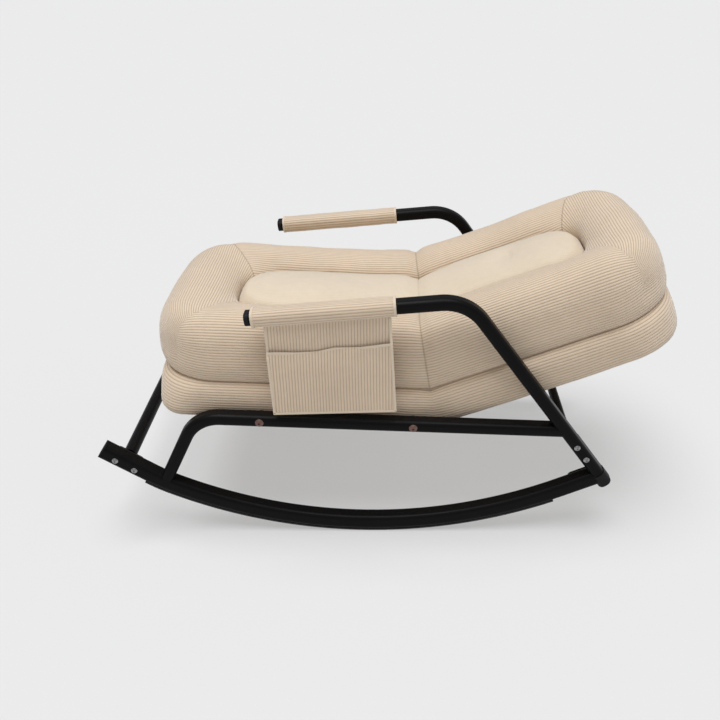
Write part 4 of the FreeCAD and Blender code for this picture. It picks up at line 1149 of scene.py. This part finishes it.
class LOUNGE_OT_sleeves(bpy.types.Operator):
    """Padded corded sleeves on both arms, with a tape sewn round each end"""
    bl_idname = "lounge.sleeves"
    bl_label = "Arm sleeves"

    def execute(self, context):
        for name, side in (("left", -1), ("right", 1)):
            sleeve = sleeve_mesh("arm_sleeve_cover_" + name, side)
            sleeve.data.materials.append(MATERIALS["corduroy"])
            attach(sleeve, "frame")
            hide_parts("arm_sleeve_" + name)
            bands = [self.band(x, side) for x in (SLEEVE_FROM + BAND_AT, SLEEVE_TO - BAND_AT)]
            tape = settle(join_pieces(bands), "sleeve_tape_" + name, MATERIALS["binding_cloth"])
            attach(tape, "frame")
            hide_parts("sleeve_binding_" + name)
        return {"FINISHED"}

    def band(self, x, side):
        """One folded tape round the sleeve's end."""
        drop_selection()
        bpy.ops.mesh.primitive_cylinder_add(vertices=ROUND_POINTS, radius=0.02, depth=BAND_WIDTH,
                                            end_fill_type="NOTHING", rotation=(0, math.pi / 2, 0))
        obj = bpy.context.object
        bpy.ops.object.transform_apply(location=False, rotation=True, scale=False)
        section, whole = round_box_section(*BAND_INSIDE)
        mesh = obj.data

        def round_the_arm(v):
            return v.co.x > 0, math.atan2(v.co.y, -v.co.z) % (2 * math.pi)

        def cloth(co):
            angle = math.atan2(co.y - side * ARM_Y, arm_height(co.x) - co.z) % (2 * math.pi)
            return co.x, whole * angle / (2 * math.pi)

        for k, v in enumerate(sorted(mesh.vertices, key=round_the_arm)):
            v.co = on_arm(x + v.co.x, side, *section[k % ROUND_POINTS])
        lay_cloth(mesh, cloth)
        add_wall(obj, 0.0012, 1.0)
        soft = obj.modifiers.new("soft", "BEVEL")
        soft.width = 0.0005
        soft.segments = 2
        soft.limit_method = "ANGLE"
        finish_modifiers(obj)
        smooth(obj)
        return obj


# Pocket

POCKET_FROM = -0.231 - MIDDLE_FROM_TOUCH
POCKET_TO = 0.051 - MIDDLE_FROM_TOUCH
POCKET_WIDE = POCKET_TO - POCKET_FROM
POCKET_LOW = (0.350, 0.358)
POCKET_BACK_Y = -0.3144
POCKET_FRONT_Y = -0.3240
POCKET_OUT = (0, -1, 0)
# How far tapes and stitches stand off a panel's middle, and how far the tapes' middles lie inside the
# pocket's edges
TAPE_OFF, THREAD_OFF = 0.0006, 0.0009
TAPE_IN, HEM_IN = 0.0022, 0.0032
# The open edge sags where hands pull it down: share of the width, then height.
OPENING = ((0.0, 0.512), (0.234, 0.510), (0.40, 0.5125), (0.543, 0.522), (0.748, 0.5235), (0.87, 0.529),
           (1.0, 0.535))


def opening_height(share):
    """Height of the front panel's open edge at a share of the width."""
    shares, heights = np.transpose(OPENING)
    return float(np.interp(share, shares, heights))


def pocket_x(share, z):
    """Place along the chair at a share of the pocket's width: its sides lean outward towards the bottom."""
    down = (0.605 - z) / 0.25
    left = POCKET_FROM - 0.004 + 0.009 * down
    right = POCKET_TO - 0.006 + 0.012 * down
    return left + (right - left) * share


def pocket_low(share):
    """Height of the pocket's low edge."""
    return POCKET_LOW[0] + (POCKET_LOW[1] - POCKET_LOW[0]) * share


def sleeve_low(share):
    """Height at which the pocket hangs from the sleeve's underside."""
    return arm_height(POCKET_FROM + POCKET_WIDE * share) - 0.0150


def cloth_panel(name, top, depth, belly, thickness):
    """Corded cloth panel between the low edge and a top edge, with a belly."""
    drop_selection()
    bpy.ops.mesh.primitive_grid_add(x_subdivisions=60, y_subdivisions=44, size=1.0)
    obj = bpy.context.object
    for v in obj.data.vertices:
        share, up = v.co.x + 0.5, v.co.y + 0.5
        low = pocket_low(share)
        high = top(share)
        z = low + (high - low) * up
        x = pocket_x(share, z)
        out = belly(share, up)
        wave = 0.0010 * noise.noise(Vector((x * 22, z * 9, depth * 50)))
        v.co = (x, depth - out + wave, z)
    lay_cloth(obj.data, lambda co: (co.x, co.z))
    thicken(obj, thickness)
    return settle(obj, name, MATERIALS["corduroy_sheet"])


def thicken(obj, thickness):
    """Gives a cloth sheet its thickness, half of it on each side."""
    add_wall(obj, thickness)
    finish_modifiers(obj)
    smooth(obj, math.radians(50))


def tape_along(places, across, width=0.0056, thick=0.0007):
    """Folded tape on the pocket's face: a narrow band along places, with a rounded face."""
    verts, faces, uvs = [], [], []
    across, out = Vector(across), Vector(POCKET_OUT)
    half = width / 2
    profile = [(-half, 0.0), (-half, thick), (-half / 2, thick * 1.5), (half / 2, thick * 1.5),
               (half, thick), (half, 0.0)]
    run = 0.0
    n = len(profile)
    for i, p in enumerate(places):
        if i:
            run += (Vector(p) - Vector(places[i - 1])).length
        verts += [Vector(p) + across * a + out * b for a, b in profile]
        uvs.append(run)
    for i in range(len(places) - 1):
        for j in range(n):
            m = (j + 1) % n
            faces.append((i * n + j, i * n + m, (i + 1) * n + m, (i + 1) * n + j))
    faces.append(tuple(range(n))[::-1])
    faces.append(tuple((len(places) - 1) * n + j for j in range(n)))
    obj = new_mesh_object("tape", verts, faces)
    layer = obj.data.uv_layers.new(name="cloth")
    for loop in obj.data.loops:
        layer.data[loop.index].uv = (uvs[loop.vertex_index // n], profile[loop.vertex_index % n][0])
    face_outward(obj.data)
    smooth(obj, math.radians(60))
    return obj


# Half of a stitch's length, width and height
STITCH_HALF = (0.0014, 0.00035, 0.0003)


def stitch_row(name, places, material):
    """Row of short thread stitches, one mesh: each lies along its own direction on the pocket's face."""
    drop_selection()
    bpy.ops.mesh.primitive_uv_sphere_add(segments=6, ring_count=4, radius=1.0)
    seed = bpy.context.object
    verts0 = np.array([v.co for v in seed.data.vertices])
    faces0 = [tuple(p.vertices) for p in seed.data.polygons]
    bpy.data.objects.remove(seed)
    verts, faces = [], []
    out = Vector(POCKET_OUT)
    for point, along in places:
        along = Vector(along).normalized()
        side = along.cross(out)
        base = len(verts)
        for v in verts0 * STITCH_HALF:
            verts.append(Vector(point) + along * v[0] + side * v[1] + out * v[2])
        faces += [tuple(base + i for i in f) for f in faces0]
    obj = new_mesh_object(name, verts, faces)
    lay_cloth(obj.data, lambda co: (co.x, co.z))
    obj.data.materials.append(material)
    smooth(obj, math.radians(80))
    return obj


def front_belly(share, up):
    """How far the front panel stands out of its plane."""
    across = max(math.sin(math.pi * share), 0.0) ** 0.7
    return across * (0.0035 * math.sin(math.pi * min(up, 1.0)) - 0.0050 * up ** 4)


class LOUNGE_OT_pocket(bpy.types.Operator):
    """Magazine pocket under the left arm: two corded panels, a gusset, bound edges and stitches"""
    bl_idname = "lounge.pocket"
    bl_label = "Pocket"

    def execute(self, context):
        back = cloth_panel("pocket_back_cloth", sleeve_low, POCKET_BACK_Y, lambda share, up: 0.0, 0.0011)
        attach(back, "frame")
        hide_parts("pocket_back_panel")
        front = cloth_panel("pocket_front_cloth", opening_height, POCKET_FRONT_Y, front_belly, 0.0013)
        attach(front, "frame")
        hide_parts("pocket_front_panel")
        binding = join_pieces([self.side_tape(0, 1), self.side_tape(1, -1), self.low_tape(), self.hem(),
                               self.gusset()])
        settle(binding, "pocket_binding", MATERIALS["binding_cloth"])
        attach(binding, "frame")
        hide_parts("pocket_gusset")
        thread = stitch_row("pocket_stitches", self.stitches(0.0042), MATERIALS["binding_cloth"])
        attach(thread, "frame")
        return {"FINISHED"}

    def side_tape(self, share, inward):
        """Tape down one side: on the back panel above the opening, and on the front panel under it."""
        top = sleeve_low(share) - 0.006
        low = pocket_low(share) + TAPE_IN
        edge = []
        for z in np.linspace(top, low, 17):
            y = POCKET_FRONT_Y if z < opening_height(share) else POCKET_BACK_Y
            edge.append((pocket_x(share, z) + inward * TAPE_IN, y - TAPE_OFF, z))
        return tape_along(edge, (1, 0, 0))

    def low_tape(self):
        """Tape along the low edge."""
        edge = [(pocket_x(k / 30, 0.355), POCKET_FRONT_Y - TAPE_OFF, pocket_low(k / 30) + TAPE_IN)
                for k in range(31)]
        return tape_along(edge, (0, 0, 1))

    def hem(self):
        """Flat hem along the front panel's open edge."""
        edge = []
        for k in range(41):
            share = 0.01 + 0.98 * k / 40
            top = opening_height(k / 40)
            edge.append((pocket_x(share, top), POCKET_FRONT_Y - TAPE_OFF - front_belly(share, 1.0),
                         top - HEM_IN))
        return tape_along(edge, (0, 0, 1), width=0.0070, thick=0.0005)

    def stitches(self, pitch):
        """Places and directions of the stitches beside the tapes and under the hem."""
        places = []
        for end, share in ((0, 0.022), (1, 0.978)):
            top = sleeve_low(end) - 0.008
            low = pocket_low(end) + 0.007
            for k in range(int((top - low) / pitch)):
                z = low + pitch * (k + 0.5)
                y = POCKET_BACK_Y - 0.0007
                if z < opening_height(share):
                    up = (z - pocket_low(share)) / (opening_height(share) - pocket_low(share))
                    y = POCKET_FRONT_Y - THREAD_OFF - front_belly(share, up)
                places.append(((pocket_x(share, z), y, z), (0, 0, 1)))
        for k in range(int(POCKET_WIDE / pitch) - 3):
            share = (0.008 + pitch * k) / POCKET_WIDE
            for z, up, rise in ((pocket_low(share) + 0.0062, 0.04, 0.03),
                                (opening_height(share) - 0.0078, 0.95, 0.08)):
                y = POCKET_FRONT_Y - THREAD_OFF - front_belly(share, up)
                places.append(((pocket_x(share, z), y, z), (1, 0, rise)))
        return places

    def gusset(self):
        """Strip that joins the two panels along both sides and the bottom."""
        lift, under, inset = 0.001, 0.004, 0.0012
        path = []
        for z in np.linspace(opening_height(0) - under, pocket_low(0) + lift, 13):
            path.append((pocket_x(0, z) + inset, z))
        for share in np.linspace(0, 1, 25)[1:]:
            z = pocket_low(share) + lift
            path.append((pocket_x(0.005 + 0.99 * share, z), z))
        for z in np.linspace(pocket_low(1) + lift, opening_height(1) - under, 13)[1:]:
            path.append((pocket_x(1, z) - inset, z))
        rows = 5
        verts = [(x, y, z) for x, z in path for y in np.linspace(POCKET_FRONT_Y, POCKET_BACK_Y, rows)]
        faces = []
        for i in range(len(path) - 1):
            for r in range(rows - 1):
                faces.append((i * rows + r, i * rows + r + 1, (i + 1) * rows + r + 1, (i + 1) * rows + r))
        obj = new_mesh_object("gusset", verts, faces)
        lay_cloth(obj.data, lambda co: (co.x + co.z, co.y))
        thicken(obj, 0.0010)
        return obj


# Straps under the cushion

class LOUNGE_OT_webbing(bpy.types.Operator):
    """Flat straps across both frames, in the place of the plain ones"""
    bl_idname = "lounge.webbing"
    bl_label = "Straps"

    def execute(self, context):
        for node, body, tilt in (("seat_webbing", "frame", SEAT_TILT), ("back_webbing", "back", BACK_TILT)):
            straps = self.straps_like(node, tilt)
            settle(straps, node.replace("webbing", "straps"), MATERIALS["webbing"])
            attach(straps, body)
            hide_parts(node)
        return {"FINISHED"}

    def straps_like(self, node, tilt):
        """One woven strap for each loose part of a CAD node, the same size and place."""
        source = frame["nodes"][node]
        work = bmesh.new()
        work.from_mesh(source.data)
        bmesh.ops.remove_doubles(work, verts=work.verts, dist=1e-5)
        seen = set()
        boxes = []
        turn = np.array([[math.cos(tilt), 0, math.sin(tilt)],
                         [0, 1, 0],
                         [-math.sin(tilt), 0, math.cos(tilt)]])
        for start in work.verts:
            if start.index in seen:
                continue
            stack, island = [start], []
            seen.add(start.index)
            while stack:
                v = stack.pop()
                island.append(v.co.copy())
                for e in v.link_edges:
                    o = e.other_vert(v)
                    if o.index not in seen:
                        seen.add(o.index)
                        stack.append(o)
            flat = (np.array(island) - np.array(HINGE)) @ turn.T
            boxes.append((flat.min(axis=0), flat.max(axis=0)))
        work.free()
        made = []
        for low, high in boxes:
            drop_selection()
            bpy.ops.mesh.primitive_grid_add(x_subdivisions=6, y_subdivisions=28, size=1.0)
            obj = bpy.context.object
            middle = (low + high) / 2
            size = high - low
            lay_cloth(obj.data, lambda co: (co.x * size[0], co.y * size[1]))
            for v in obj.data.vertices:
                sag = 0.0012 * math.cos(math.pi * v.co.y)
                flat = middle + (v.co.x * size[0], v.co.y * size[1], -sag)
                v.co = flat @ turn + np.array(HINGE)
            add_wall(obj, max(float(size[2]) * 0.9, 0.001))
            finish_modifiers(obj)
            made.append(obj)
        straps = join_pieces(made)
        smooth(straps)
        return straps


# Stage

class LOUNGE_OT_stage(bpy.types.Operator):
    """Pale floor, soft light and the camera"""
    bl_idname = "lounge.stage"
    bl_label = "Stage"

    def execute(self, context):
        scene = context.scene
        drop_selection()
        bpy.ops.mesh.primitive_plane_add(size=80.0, location=(0, 0, 0))
        floor = bpy.context.object
        bpy.ops.object.transform_apply(location=True, rotation=True, scale=True)
        floor.name = "floor"
        material, w, shader, place = principled("pale_floor")
        tint = tuple(scene.lounge.colours.floor)
        cloud = w.noise(place, 0.7, 2.0)
        w.join(w.mix(cloud, tint, tinted(tint, 0.985)), shader.inputs["Base Color"])
        shader.inputs["Roughness"].default_value = 0.9
        shader.inputs["Specular IOR Level"].default_value = 0.1
        shader.inputs["Emission Color"].default_value = (1.0, 1.0, 1.0, 1)
        shader.inputs["Emission Strength"].default_value = 0.395
        floor.data.materials.append(material)

        world = scene.world or bpy.data.worlds.new("studio")
        scene.world = world
        world.use_nodes = True
        sky = world.node_tree.nodes["Background"]
        sky.inputs["Color"].default_value = (1.0, 1.0, 1.0, 1)
        sky.inputs["Strength"].default_value = 0.27

        def sun(name, strength, direction, angle, colour):
            data = bpy.data.lights.new(name, "SUN")
            data.energy = strength
            data.angle = math.radians(angle)
            data.color = colour
            lamp = bpy.data.objects.new(name, data)
            lamp.rotation_euler = Vector(direction).to_track_quat("-Z", "Y").to_euler()
            scene.collection.objects.link(lamp)

        sun("top_light", 2.75, (0.07, 0.08, -1.0), 46, (0.985, 0.995, 1.015))
        sun("head_light", 0.30, (-0.9, 0.15, -0.35), 50, (0.72, 0.86, 1.0))
        sun("front_light", 0.16, (0.25, 0.9, -0.55), 40, (1.0, 0.93, 0.84))

        data = bpy.data.cameras.new("view")
        data.sensor_width = 36.0
        data.lens = 41.8
        data.shift_x = -0.0507
        data.clip_end = 200.0
        camera = bpy.data.objects.new("view", data)
        camera.location = (0.03105, -1.95139, 1.38941)
        looks_down = 28.84
        camera.rotation_euler = (math.radians(90 - looks_down), 0, 0)
        scene.collection.objects.link(camera)
        scene.camera = camera
        scene.view_settings.view_transform = "Standard"
        return {"FINISHED"}


class LOUNGE_PT_panel(bpy.types.Panel):
    """Buttons and settings of the lounge chair"""
    bl_idname = "LOUNGE_PT_panel"
    bl_label = "Lounge chair"
    bl_space_type = "VIEW_3D"
    bl_region_type = "UI"
    bl_category = "Lounge chair"

    def draw(self, context):
        for group in (context.scene.lounge.sizes, context.scene.lounge.colours):
            for key in group.bl_rna.properties.keys():
                if key not in ("rna_type", "name"):
                    self.layout.prop(group, key)
        for operator in OPERATORS:
            self.layout.operator(operator.bl_idname)


OPERATORS = (LOUNGE_OT_finishes, LOUNGE_OT_base_cushion, LOUNGE_OT_rim_roll, LOUNGE_OT_pads,
             LOUNGE_OT_sleeves, LOUNGE_OT_pocket, LOUNGE_OT_webbing, LOUNGE_OT_stage)
CLASSES = (LoungeColours, LoungeSizes, LoungeSettings) + OPERATORS + (LOUNGE_PT_panel,)


def register():
    for item in CLASSES:
        bpy.utils.register_class(item)
    bpy.types.Scene.lounge = bpy.props.PointerProperty(type=LoungeSettings)


def unregister():
    del bpy.types.Scene.lounge
    for item in reversed(CLASSES):
        bpy.utils.unregister_class(item)


def main():
    register()
    for operator in OPERATORS:
        family, action = operator.bl_idname.split(".")
        getattr(getattr(bpy.ops, family), action)()


if __name__ == "__main__":
    main()
